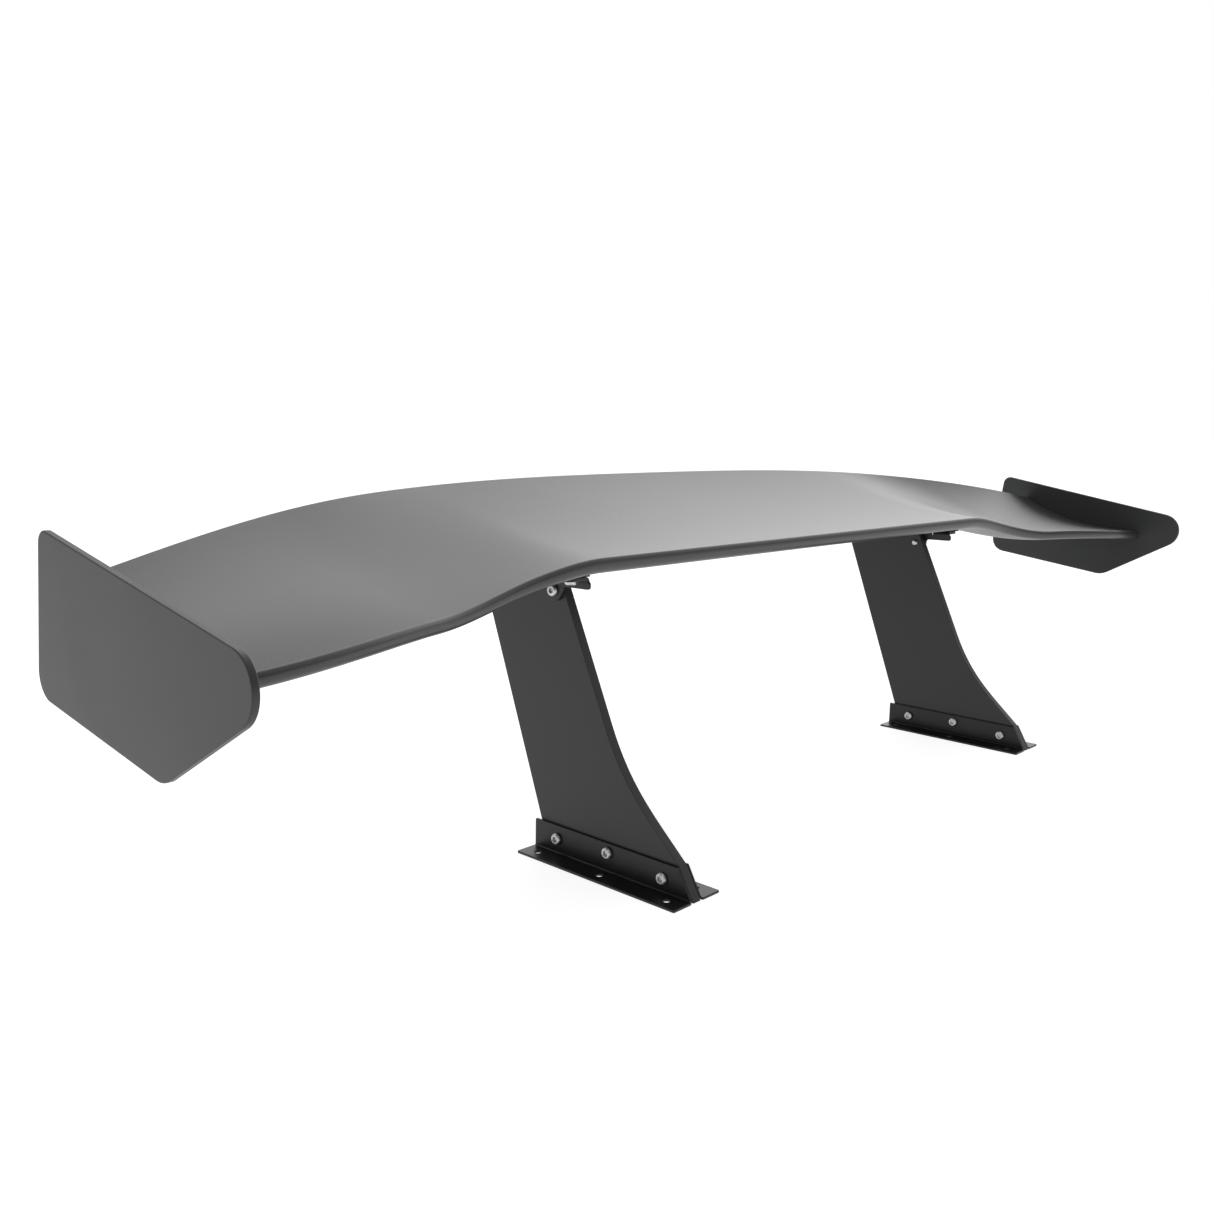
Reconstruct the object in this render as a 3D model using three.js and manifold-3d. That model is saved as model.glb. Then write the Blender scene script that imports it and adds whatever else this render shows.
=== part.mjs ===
// Racing rear wing: a hollow moulded blade with end plates, carried by two alloy stands.
// Millimetres. +X runs along the span, +Y to the rear of the car, +Z up.
// Sizes below are taken from the middle of the stand feet; the last lines move the origin to the
// middle of the whole wing's outline, on the ground plane.
import * as THREE from 'three';
import { mergeVertices } from 'three/addons/utils/BufferGeometryUtils.js';
import Module from 'manifold-3d';

const wasm = await Module();
wasm.setup();

// ---------------------------------------------------------------- driving dimensions

const seat = 0.3;            // gap between pieces that sit on each other
const cutMargin = 1;         // how far a cutting shape runs past the faces that it cuts

const span = 1448;           // over the outer faces of the end plates
const halfSpan = span / 2;

// Blade on the centre line: the crease above the nose and the trailing edge.
const centreLead = { y: 4.5, z: 272.5 };
const centreTrail = { y: 250, z: 323.5 };
const noseDepth = { centre: 12.2, tip: 10.8 };
const bellyShare = { centre: 0.26, tip: 0.13 };     // fullness of the underside, to the chord
const camberPower = { centre: 1.7, tip: 2.45 };     // higher is flatter at the front
const trailThickness = 3;
const skinThickness = 3;

// The nose curve's handles and foot, to the nose's depth.
const noseShape = { forward: 0.42, down: 0.16, under: 0.36, foot: 0.5 };

// Outboard of the stands the leading edge steps down, then sweeps forward and droops.
const leadStep = { drop: 25.5, beyondStand: 12.6, length: 189.7 };
const leadSweep = { forward: 66.5, beyondStand: 82.1, beforeTip: 34 };
const leadDroop = { drop: 8.4, length: 188, power: 1.65 };

// The trailing edge bows forward over the whole half span, sweeps forward over its last
// stretch, and droops towards the tip.
const trailBow = { forward: 110, power: 2 };
const trailSweep = { forward: 40, length: 326 };
const trailDroop = { drop: 47, power: 3.15 };

const tipCapThickness = 5;
const bondThickness = 1;

// End plate outline, seen from the side: corner positions and their rounding.
const endPlateThickness = 5;
const endPlateCorners = [
  { y: 140.4, z: 308.5, r: 10 },
  { y: -161.3, z: 254.0, r: 23 },
  { y: -17.0, z: 171.6, r: 26 },
  { y: 155.0, z: 195.1, r: 19 },
];

// Stands
const standSpacing = 635;
const standX = standSpacing / 2;
const standThickness = 9.5;
const standRear = { yAtFoot: 74.5, yAtTop: 175.6, topGap: 19.2 };
const standFront = { yAtTop: 65.5, lean: 0.46, straightTo: 128, topGap: 6.94 };
const standToe = { along: 0.72, up: 0.66 };  // how the front edge curves into the foot
const standCorner = 3;
const standRise = 0.5;       // off the ground, so that the angles carry the load

// Foot angles: a pair clamps each stand
const angleThickness = 2.2;
const angleReach = 24.5;
const angleHeight = 27;
const angleRear = 90;
const angleFront = -91.4;
const angleSlant = 15.6;     // how far the upright leg's front end leans back
const floorHoleRadius = 3.25;
const floorHoleY = [74.5, 0, -74.5];
const floorHoleOffset = 11.3;    // from the upright leg's outer face
const footBolts = [{ y: 62, z: 14.7 }, { y: 1, z: 18.5 }, { y: -60.2, z: 13.6 }];

// M6 fasteners
const threadRadius = 3;
const threadChamfer = 0.6;
const holeRadius = threadRadius + seat;
const headRadius = 5.4;
const headHeight = 3.3;
const headRim = 0.8;
const headShoulder = { radius: 0.86, height: 0.66 };   // to the head's own size
const headCrown = 0.58;
const socketAcross = 4;
const socketDepth = 2;
const nutAcross = 10;
const nutHeight = 5;
const washerRadius = 6;
const washerThickness = 1.2;
const threadStandout = { foot: 2, pivot: 3.5, adjuster: 1, blade: 2.3 };

// Blade angle adjustment: holes placed from the stand's front and rear top corners
const pivotHole = { fromFront: 4.5, belowTop: 12 };
const adjusterHole = { fromRear: 28.6, belowTop: 8.8 };
const adjusterTravel = 5;    // degrees each way
const slotClearance = 0.8;

// Blade brackets: an upright leg on the outboard face of each stand, two bent tabs on top
const bracketThickness = 3;
const bracketDepth = 8;      // of the leg's lower edge below the tabs
const lugRadius = 9.5;
const bracketFront = 28;
const bracketRear = 162;
const tabSetback = 2;        // from each end of the bracket
const tabLength = 22;
const tabWidth = 24;
const tabScrewInset = 12;    // from the stand's outboard face
const padThickness = 3;
const padMargin = 1.5;
const backingThickness = 4;
const backingSize = 22;
const curveAllowance = 2;    // how much the underside curves across a tab

// Facets
const chordSteps = 11;
const noseSteps = 5;
const spanSteps = 34;
const tongueSteps = 8;
const roundSides = 12;
const lugSides = 20;
const hexSides = 6;
const plateArcSteps = 5;
const standArcSteps = 7;
const slotArcSteps = 3;

// ---------------------------------------------------------------- finishes

const finish = (color, roughness, metalness) =>
  new THREE.MeshStandardMaterial({ color, roughness, metalness });
const mouldedAbs = finish(0x3c3d3e, 0.5, 0.0);
const plateAbs = finish(0x343536, 0.45, 0.0);
const blackAlloy = finish(0x1f2021, 0.45, 0.7);
const steel = finish(0xc8c9cb, 0.25, 1.0);
const rubber = finish(0x111111, 0.85, 0.0);
const bareAlloy = finish(0xa9abad, 0.4, 1.0);

// ---------------------------------------------------------------- solids

const mergeDistance = 1e-4;

function toSolid(geometry) {
  geometry.deleteAttribute('normal');
  geometry.deleteAttribute('uv');
  const merged = mergeVertices(geometry, mergeDistance);
  const vertProperties = new Float32Array(merged.attributes.position.array);
  const triVerts = new Uint32Array(merged.index.array);
  return new wasm.Manifold(new wasm.Mesh({ numProp: 3, vertProperties, triVerts }));
}

function toMesh(name, solid, material) {
  const { vertProperties, triVerts } = solid.getMesh();
  const geometry = new THREE.BufferGeometry();
  geometry.setAttribute('position', new THREE.BufferAttribute(new Float32Array(vertProperties), 3));
  geometry.setIndex(new THREE.BufferAttribute(new Uint32Array(triVerts), 1));
  geometry.computeVertexNormals();
  const mesh = new THREE.Mesh(geometry, material);
  mesh.name = name;
  return mesh;
}

// A flat outline in (y, z), given its thickness along X. side is -1 (left) or 1 (right);
// inner is how far its nearer face lies from the centre plane.
function slab(outline, inner, thickness, side, curveSegments = plateArcSteps) {
  const settings = { depth: thickness, bevelEnabled: false, curveSegments };
  const geometry = new THREE.ExtrudeGeometry(outline, settings);
  const yz = new THREE.Matrix4().makeBasis(
    new THREE.Vector3(0, 1, 0), new THREE.Vector3(0, 0, 1), new THREE.Vector3(1, 0, 0));
  geometry.applyMatrix4(yz);
  geometry.translate(side > 0 ? inner : -inner - thickness, 0, 0);
  return toSolid(geometry);
}

// A round bar of the given radius between two points.
function bar(from, to, radius, sidesAround = roundSides) {
  const axis = to.clone().sub(from);
  const geometry = new THREE.CylinderGeometry(radius, radius, axis.length(), sidesAround);
  geometry.applyQuaternion(new THREE.Quaternion().setFromUnitVectors(
    new THREE.Vector3(0, 1, 0), axis.clone().normalize()));
  geometry.translate(...from.clone().add(to).multiplyScalar(0.5).toArray());
  return toSolid(geometry);
}

// The same, along X at (y, z).
const crossBar = (at, radius, fromX, toX, sidesAround) =>
  bar(new THREE.Vector3(fromX, at.y, at.z), new THREE.Vector3(toX, at.y, at.z), radius, sidesAround);

// A closed outline through corners in (y, z), each rounded to its own radius.
function roundedOutline(corners) {
  const outline = new THREE.Shape();
  corners.forEach((corner, i) => {
    const here = new THREE.Vector2(corner.y, corner.z);
    const before = corners.at(i - 1);
    const after = corners[(i + 1) % corners.length];
    const toBefore = new THREE.Vector2(before.y, before.z).sub(here).normalize();
    const toAfter = new THREE.Vector2(after.y, after.z).sub(here).normalize();
    const half = Math.acos(toBefore.dot(toAfter)) / 2;
    const setback = corner.r / Math.tan(half);
    const start = here.clone().addScaledVector(toBefore, setback);
    const end = here.clone().addScaledVector(toAfter, setback);
    const inward = toBefore.clone().add(toAfter).normalize();
    const centre = here.clone().addScaledVector(inward, corner.r / Math.sin(half));
    const clockwise = toBefore.cross(toAfter) > 0;
    if (i === 0) outline.moveTo(start.x, start.y);
    else outline.lineTo(start.x, start.y);
    outline.absarc(centre.x, centre.y, corner.r,
      Math.atan2(start.y - centre.y, start.x - centre.x),
      Math.atan2(end.y - centre.y, end.x - centre.x), clockwise);
  });
  outline.closePath();
  return outline;
}

// ---------------------------------------------------------------- blade shape

const mix = (a, b, t) => a + (b - a) * t;

function easeBetween(from, to, value) {
  const t = THREE.MathUtils.clamp((value - from) / (to - from), 0, 1);
  return t * t * (3 - 2 * t);
}

// How far out the leading edge starts to step down, and to sweep forward.
const stepStart = standX + leadStep.beyondStand;
const sweepStart = standX + leadSweep.beyondStand;

// The blade's section at x: every curve is a function of chord share c, 0 at the crease
// above the nose and 1 at the trailing edge.
function bladeSection(x) {
  const out = Math.abs(x);
  const share = out / halfSpan;
  const step = easeBetween(stepStart, stepStart + leadStep.length, out);
  const outboard = easeBetween(stepStart, halfSpan, out);
  const leadForward = leadSweep.forward * easeBetween(sweepStart, halfSpan - leadSweep.beforeTip, out);
  const droopShare = Math.max(0, (out - halfSpan + leadDroop.length) / leadDroop.length);
  const lead = {
    y: centreLead.y - leadForward,
    z: centreLead.z - leadStep.drop * step - leadDroop.drop * Math.pow(droopShare, leadDroop.power),
  };
  const trail = {
    y: centreTrail.y - trailBow.forward * Math.pow(share, trailBow.power)
      - trailSweep.forward * easeBetween(halfSpan - trailSweep.length, halfSpan, out),
    z: centreTrail.z - trailDroop.drop * Math.pow(share, trailDroop.power),
  };
  const chord = trail.y - lead.y;
  const nose = mix(noseDepth.centre, noseDepth.tip, step);
  const belly = mix(bellyShare.centre, bellyShare.tip, outboard) * chord;
  const camber = mix(camberPower.centre, camberPower.tip, outboard);
  const atY = (c) => lead.y + c * chord;
  const top = (c) => lead.z + (trail.z - lead.z) * Math.pow(c, camber);
  const thickness = (c) => trailThickness + (1 - c) * (nose - trailThickness + belly * c);
  const bottom = (c) => top(c) - thickness(c);
  const wall = (c) => Math.min(skinThickness, (thickness(c) - seat) / 2);
  const bottomStart = noseShape.foot * nose / chord;
  const foot = new THREE.Vector2(atY(bottomStart), bottom(bottomStart));
  const noseCurve = new THREE.CubicBezierCurve(
    new THREE.Vector2(lead.y, lead.z),
    new THREE.Vector2(lead.y - noseShape.forward * nose, lead.z - noseShape.down * nose),
    new THREE.Vector2(lead.y - noseShape.under * nose, foot.y),
    foot);
  return { atY, top, bottom, wall, bottomStart, noseCurve, chord, lead };
}

const undersideAt = (x, y) => {
  const section = bladeSection(x);
  return section.bottom((y - section.lead.y) / section.chord);
};

// The share of the nose curve that has come down by the given depth from the crease.
function noseShareAt(section, depth) {
  const halvings = 24;
  let [low, high] = [0, 1];
  for (let i = 0; i < halvings; i++) {
    const middle = (low + high) / 2;
    if (section.lead.z - section.noseCurve.getPoint(middle).y < depth) low = middle;
    else high = middle;
  }
  return low;
}

const seamGap = 1.5 * seat;   // the skins meet in a joint line one skin below the crease

// Chord shares from the foot of the nose to the trailing edge, the same on both skins.
const chordShares = (section) =>
  Array.from({ length: chordSteps + 1 }, (_, i) => mix(section.bottomStart, 1, i / chordSteps));

function upperSkinRing(x) {
  const s = bladeSection(x);
  const shares = chordShares(s);
  const ring = shares.toReversed().map((c) => [s.atY(c), s.top(c)]);
  ring.push([s.lead.y, s.lead.z]);
  const seam = noseShareAt(s, skinThickness);
  for (const share of [seam / 2, seam]) {
    const p = s.noseCurve.getPoint(share);
    ring.push([p.x, p.y]);
  }
  ring.push([s.lead.y + skinThickness / 2, s.lead.z - s.wall(0)]);
  for (const c of shares) ring.push([s.atY(c), s.top(c) - s.wall(c)]);
  return ring;
}

function lowerSkinRing(x) {
  const s = bladeSection(x);
  const outer = [];
  const inner = [];
  const seam = noseShareAt(s, skinThickness + seamGap);
  for (let i = 0; i < noseSteps; i++) {
    const share = mix(seam, 1, i / noseSteps);
    const p = s.noseCurve.getPoint(share);
    const along = s.noseCurve.getTangent(share);
    outer.push([p.x, p.y]);
    inner.push([p.x - along.y * skinThickness, p.y + along.x * skinThickness]);
  }
  for (const c of chordShares(s)) {
    outer.push([s.atY(c), s.bottom(c)]);
    inner.push([s.atY(c), s.bottom(c) + s.wall(c)]);
  }
  return outer.concat(inner.reverse());
}

function fullSectionRing(x) {
  const s = bladeSection(x);
  const shares = chordShares(s);
  const ring = shares.toReversed().map((c) => [s.atY(c), s.top(c)]);
  for (let i = 0; i < noseSteps; i++) {
    const p = s.noseCurve.getPoint(i / noseSteps);
    ring.push([p.x, p.y]);
  }
  for (const c of shares) ring.push([s.atY(c), s.bottom(c)]);
  return ring;
}

// A solid lofted through rings of (y, z) points, one ring for each x. Each quad is split from
// its inboard front corner to its outboard rear corner, so that facing surfaces split alike.
function loft(ringAt, places) {
  const rings = places.map((x) => ringAt(x).map(([y, z]) => new THREE.Vector3(x, y, z)));
  const count = rings[0].length;
  const positions = [];
  const index = [];
  rings.forEach((ring) => ring.forEach((p) => positions.push(...p.toArray())));
  for (let r = 0; r + 1 < rings.length; r++) {
    for (let i = 0; i < count; i++) {
      const a = r * count + i;
      const b = r * count + (i + 1) % count;
      const rearward = rings[r][(i + 1) % count].y > rings[r][i].y;
      const outboard = Math.abs(places[r + 1]) > Math.abs(places[r]);
      if (rearward === outboard) index.push(a, b, b + count, a, b + count, a + count);
      else index.push(a, b, a + count, b, b + count, a + count);
    }
  }
  const flat = (ring) => ring.map((p) => new THREE.Vector2(p.y, p.z));
  for (const [a, b, c] of THREE.ShapeUtils.triangulateShape(flat(rings[0]), [])) index.push(a, c, b);
  const start = (rings.length - 1) * count;
  for (const [a, b, c] of THREE.ShapeUtils.triangulateShape(flat(rings.at(-1)), [])) {
    index.push(start + a, start + b, start + c);
  }
  const geometry = new THREE.BufferGeometry();
  geometry.setAttribute('position', new THREE.Float32BufferAttribute(positions, 3));
  geometry.setIndex(index);
  return toSolid(geometry);
}

const endPlateInner = halfSpan - endPlateThickness;
const bondOuter = endPlateInner - seat;
const capOuter = bondOuter - bondThickness - seat;
const capInner = capOuter - tipCapThickness;
const bladeEnd = capInner - seat;

const spanPlaces = Array.from({ length: spanSteps + 1 }, (_, i) => bladeEnd * (2 * i / spanSteps - 1));

// ---------------------------------------------------------------- fasteners

// Corner radius of a hexagon from its width across flats.
const hexRadius = (across) => across / Math.sqrt(3);

// A round-topped socket screw along +Y, its head's underside at the origin.
function screwSolid(length) {
  const profile = [
    new THREE.Vector2(0, -length),
    new THREE.Vector2(threadRadius - threadChamfer, -length),
    new THREE.Vector2(threadRadius, -length + threadChamfer),
    new THREE.Vector2(threadRadius, 0),
    new THREE.Vector2(headRadius, 0),
    new THREE.Vector2(headRadius, headRim),
    new THREE.Vector2(headRadius * headShoulder.radius, headHeight * headShoulder.height),
    new THREE.Vector2(headRadius * headCrown, headHeight),
    new THREE.Vector2(0, headHeight),
  ];
  const body = toSolid(new THREE.LatheGeometry(profile, roundSides));
  const socket = bar(new THREE.Vector3(0, headHeight - socketDepth, 0),
    new THREE.Vector3(0, headHeight + cutMargin, 0), hexRadius(socketAcross), hexSides);
  return body.subtract(socket);
}

function ringSolid(outerRadius, thickness, sidesAround) {
  const top = new THREE.Vector3(0, thickness, 0);
  const outer = bar(new THREE.Vector3(), top, outerRadius, sidesAround);
  const bore = bar(new THREE.Vector3(0, -cutMargin, 0), top.clone().setY(thickness + cutMargin), holeRadius);
  return outer.subtract(bore);
}

const nutSolid = ringSolid(hexRadius(nutAcross), nutHeight, hexSides);
const washerSolid = ringSolid(washerRadius, washerThickness, roundSides);

// Puts a piece modelled along +Y at a place, pointing along a direction.
function placed(name, solid, material, place, direction) {
  const mesh = toMesh(name, solid, material);
  mesh.position.copy(place);
  mesh.quaternion.setFromUnitVectors(new THREE.Vector3(0, 1, 0), direction.clone().normalize());
  return mesh;
}

// ---------------------------------------------------------------- stands and feet

const stands = new THREE.Group();
const wing = new THREE.Group();
const sides = [{ label: 'left', side: -1 }, { label: 'right', side: 1 }];

const standInner = standX - standThickness / 2;
const standOuter = standX + standThickness / 2;

// The stand's top edge runs a set gap below the blade, and the holes follow that edge.
const rearTop = new THREE.Vector2(standRear.yAtTop,
  undersideAt(standX, standRear.yAtTop) - standRear.topGap);
const frontTop = new THREE.Vector2(standFront.yAtTop,
  undersideAt(standX, standFront.yAtTop) - standFront.topGap);
const topEdgeZ = (y) => mix(frontTop.y, rearTop.y, (y - frontTop.x) / (rearTop.x - frontTop.x));
const pivot = { y: frontTop.x + pivotHole.fromFront, z: frontTop.y - pivotHole.belowTop };
const adjusterY = rearTop.x - adjusterHole.fromRear;
const adjuster = { y: adjusterY, z: topEdgeZ(adjusterY) - adjusterHole.belowTop };

const rearEdgeY = (z) => mix(standRear.yAtFoot, rearTop.x, z / rearTop.y);
const frontEdgeY = (z) => frontTop.x - standFront.lean * (frontTop.y - z);
const slantY = (z) => angleFront + angleSlant * z / angleHeight;

// Draws an outline up to and round a corner, starting the given distance before it.
function roundCorner(outline, before, corner, after, distance) {
  const toward = (other) => other.clone().sub(corner).setLength(distance).add(corner);
  const [start, end] = [toward(before), toward(after)];
  outline.lineTo(start.x, start.y);
  outline.quadraticCurveTo(corner.x, corner.y, end.x, end.y);
}

function standOutline() {
  const outline = new THREE.Shape();
  const rearFoot = new THREE.Vector2(rearEdgeY(standRise), standRise);
  const knee = new THREE.Vector2(frontEdgeY(standFront.straightTo), standFront.straightTo);
  const reach = (knee.y - angleHeight) / 2;
  outline.moveTo(slantY(standRise), standRise);
  outline.lineTo(rearFoot.x, rearFoot.y);
  roundCorner(outline, rearFoot, rearTop, frontTop, standCorner);
  roundCorner(outline, rearTop, frontTop, knee, standCorner);
  outline.lineTo(knee.x, knee.y);
  outline.bezierCurveTo(
    knee.x - standFront.lean * reach, knee.y - reach,
    slantY(angleHeight) + reach * standToe.along, angleHeight + reach * standToe.up,
    slantY(angleHeight), angleHeight);
  outline.closePath();
  return outline;
}

function standSolid(side) {
  let solid = slab(standOutline(), standInner, standThickness, side, standArcSteps);
  for (const at of [...footBolts, pivot, adjuster]) {
    const [from, to] = [side * (standInner - cutMargin), side * (standOuter + cutMargin)];
    solid = solid.subtract(crossBar(at, holeRadius, from, to));
  }
  return solid;
}

// One foot angle. away is 1 for the angle on the stand's +X face and -1 for the other.
function angleSolid(standCentre, away) {
  const legInner = standThickness / 2 + seat;
  const legOuter = legInner + angleThickness;
  const leg = new THREE.Shape();
  leg.moveTo(angleFront, 0);
  leg.lineTo(angleRear, 0);
  leg.lineTo(angleRear, angleHeight);
  leg.lineTo(slantY(angleHeight), angleHeight);
  leg.closePath();
  const foot = new THREE.Shape();
  foot.moveTo(angleFront, 0);
  foot.lineTo(angleRear, 0);
  foot.lineTo(angleRear, angleThickness);
  foot.lineTo(angleFront, angleThickness);
  foot.closePath();
  let solid = slab(leg, legInner, angleThickness, away).add(slab(foot, legInner, angleReach, away));
  for (const bolt of footBolts) {
    const [from, to] = [away * (legInner - cutMargin), away * (legOuter + cutMargin)];
    solid = solid.subtract(crossBar(bolt, holeRadius, from, to));
  }
  for (const y of floorHoleY) {
    const x = away * (legOuter + floorHoleOffset);
    solid = solid.subtract(bar(new THREE.Vector3(x, y, -cutMargin),
      new THREE.Vector3(x, y, angleThickness + cutMargin), floorHoleRadius));
  }
  return solid.translate(standCentre, 0, 0);
}

const clampHalf = standThickness / 2 + seat + angleThickness;
const footScrew = screwSolid(
  2 * clampHalf + 3 * seat + washerThickness + nutHeight + threadStandout.foot);
const toRight = new THREE.Vector3(1, 0, 0);
const toLeft = new THREE.Vector3(-1, 0, 0);

for (const { label, side } of sides) {
  const x = side * standX;
  stands.add(toMesh(`stand_${label}`, standSolid(side), blackAlloy));
  stands.add(toMesh(`foot_angle_${label}_outboard`, angleSolid(x, side), blackAlloy));
  stands.add(toMesh(`foot_angle_${label}_inboard`, angleSolid(x, -side), blackAlloy));
  footBolts.forEach((bolt, i) => {
    const head = new THREE.Vector3(x - clampHalf - seat, bolt.y, bolt.z);
    const washer = new THREE.Vector3(x + clampHalf + seat, bolt.y, bolt.z);
    const nut = washer.clone().setX(washer.x + washerThickness + seat);
    stands.add(placed(`foot_bolt_${label}_${i + 1}`, footScrew, steel, head, toLeft));
    stands.add(placed(`foot_washer_${label}_${i + 1}`, washerSolid, steel, washer, toRight));
    stands.add(placed(`foot_nut_${label}_${i + 1}`, nutSolid, steel, nut, toRight));
  });
}

// ---------------------------------------------------------------- pivot and adjuster

const legInnerX = standOuter + seat;
const legOuterX = legInnerX + bracketThickness;
const pivotScrew = screwSolid(standThickness + bracketThickness + 2 * seat + threadStandout.pivot);
const adjusterScrew = screwSolid(
  standThickness + bracketThickness + washerThickness + 3 * seat + threadStandout.adjuster);

for (const { label, side } of sides) {
  const outward = side > 0 ? toRight : toLeft;
  const pivotHead = new THREE.Vector3(side * (legOuterX + seat), pivot.y, pivot.z);
  const washer = new THREE.Vector3(side * (legOuterX + seat), adjuster.y, adjuster.z);
  const adjusterHead = washer.clone().setX(washer.x + side * (washerThickness + seat));
  stands.add(placed(`pivot_bolt_${label}`, pivotScrew, steel, pivotHead, outward));
  stands.add(placed(`adjuster_washer_${label}`, washerSolid, steel, washer, outward));
  stands.add(placed(`adjuster_bolt_${label}`, adjusterScrew, steel, adjusterHead, outward));
}

// ---------------------------------------------------------------- blade brackets

// The underside where the tabs meet it.
const tabX = legInnerX + tabWidth / 2;
const tabs = [bracketFront + tabSetback, bracketRear - tabSetback - tabLength].map((start) => {
  const rise = undersideAt(tabX, start + tabLength) - undersideAt(tabX, start);
  const middle = { y: start + tabLength / 2, z: undersideAt(tabX, start) + rise / 2 };
  return { ...middle, slope: Math.atan2(rise, tabLength) };
});
const tabTopDrop = padThickness + 2 * seat;

// A flat block lying on a tab's slope: its top face is drop below the underside.
function tabBlock(tab, side, { inner, width, length, thickness, drop }) {
  const geometry = new THREE.BoxGeometry(width, length, thickness);
  geometry.translate(0, 0, -drop - thickness / 2);
  geometry.rotateX(tab.slope);
  geometry.translate(side * (inner + width / 2), tab.y, tab.z);
  return toSolid(geometry);
}

function tabHole(tab, side) {
  const up = new THREE.Vector3(0, -Math.sin(tab.slope), Math.cos(tab.slope));
  const centre = new THREE.Vector3(side * (standOuter + tabScrewInset), tab.y, tab.z);
  const below = tabTopDrop + bracketThickness + curveAllowance + cutMargin;
  const above = skinThickness + backingThickness + 2 * curveAllowance + cutMargin;
  return bar(centre.clone().addScaledVector(up, -below), centre.addScaledVector(up, above), holeRadius);
}

// Curved slot for the adjuster, centred on the pivot.
function adjusterSlot() {
  const radius = Math.hypot(adjuster.y - pivot.y, adjuster.z - pivot.z);
  const middle = Math.atan2(adjuster.z - pivot.z, adjuster.y - pivot.y);
  const half = threadRadius + slotClearance;
  const swing = THREE.MathUtils.degToRad(adjusterTravel);
  const slot = new THREE.Shape();
  const at = (angle) => [pivot.y + radius * Math.cos(angle), pivot.z + radius * Math.sin(angle)];
  slot.absarc(pivot.y, pivot.z, radius + half, middle - swing, middle + swing, false);
  slot.absarc(...at(middle + swing), half, middle + swing, middle + swing + Math.PI, false);
  slot.absarc(pivot.y, pivot.z, radius - half, middle + swing, middle - swing, true);
  slot.absarc(...at(middle - swing), half, middle - swing + Math.PI, middle - swing + 2 * Math.PI, false);
  return slot;
}

function bracketSolid(side) {
  const under = (y) => undersideAt(tabX, y) - tabTopDrop;
  const stations = Array.from({ length: tongueSteps + 1 },
    (_, i) => mix(bracketFront, bracketRear, i / tongueSteps));
  const lowerEdge = stations.map((y) => new THREE.Vector2(y, under(y) - bracketDepth - bracketThickness));
  const upperEdge = stations.map((y) => new THREE.Vector2(y, under(y) - bracketThickness / 2));
  const tongue = new THREE.Shape([...lowerEdge, ...upperEdge.reverse()]);
  const strip = slab(tongue, legInnerX, bracketThickness, side);
  const disc = (at, radius) => crossBar(at, radius, side * legInnerX, side * legOuterX, lugSides);
  const neck = (at, radius) => {
    const shape = new THREE.Shape();
    shape.moveTo(at.y - radius, at.z);
    shape.lineTo(at.y + radius, at.z);
    shape.lineTo(at.y + radius, under(at.y + radius) - bracketThickness);
    shape.lineTo(at.y - radius, under(at.y - radius) - bracketThickness);
    shape.closePath();
    return slab(shape, legInnerX, bracketThickness, side);
  };
  const adjusterLug = lugRadius + Math.hypot(adjuster.y - pivot.y, adjuster.z - pivot.z)
    * Math.sin(THREE.MathUtils.degToRad(adjusterTravel));
  let solid = strip.add(disc(pivot, lugRadius)).add(neck(pivot, lugRadius))
    .add(disc(adjuster, adjusterLug)).add(neck(adjuster, adjusterLug));
  for (const tab of tabs) {
    solid = solid.add(tabBlock(tab, side, {
      inner: legInnerX, width: tabWidth, length: tabLength, thickness: bracketThickness, drop: tabTopDrop,
    }));
    solid = solid.subtract(tabHole(tab, side));
  }
  const [from, to] = [side * (legInnerX - cutMargin), side * (legOuterX + cutMargin)];
  solid = solid.subtract(crossBar(pivot, holeRadius, from, to));
  return solid.subtract(
    slab(adjusterSlot(), legInnerX - cutMargin, bracketThickness + 2 * cutMargin, side,
      slotArcSteps));
}

// ---------------------------------------------------------------- wing

const bladeEnvelope = loft(fullSectionRing, spanPlaces);
const upperSkin = loft(upperSkinRing, spanPlaces);
const plainLowerSkin = loft(lowerSkinRing, spanPlaces);
let lowerSkin = plainLowerSkin;
for (const { side } of sides) {
  for (const tab of tabs) lowerSkin = lowerSkin.subtract(tabHole(tab, side));
}
wing.add(toMesh('blade_upper_skin', upperSkin, mouldedAbs));
wing.add(toMesh('blade_lower_skin', lowerSkin, mouldedAbs));

const bladeScrew = screwSolid(bracketThickness + tabTopDrop + skinThickness + backingThickness
  + 2 * seat + threadStandout.blade);
const ringShape = (ring) => new THREE.Shape(ring.map(([y, z]) => new THREE.Vector2(y, z)));
const tabNames = ['front', 'rear'];

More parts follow.
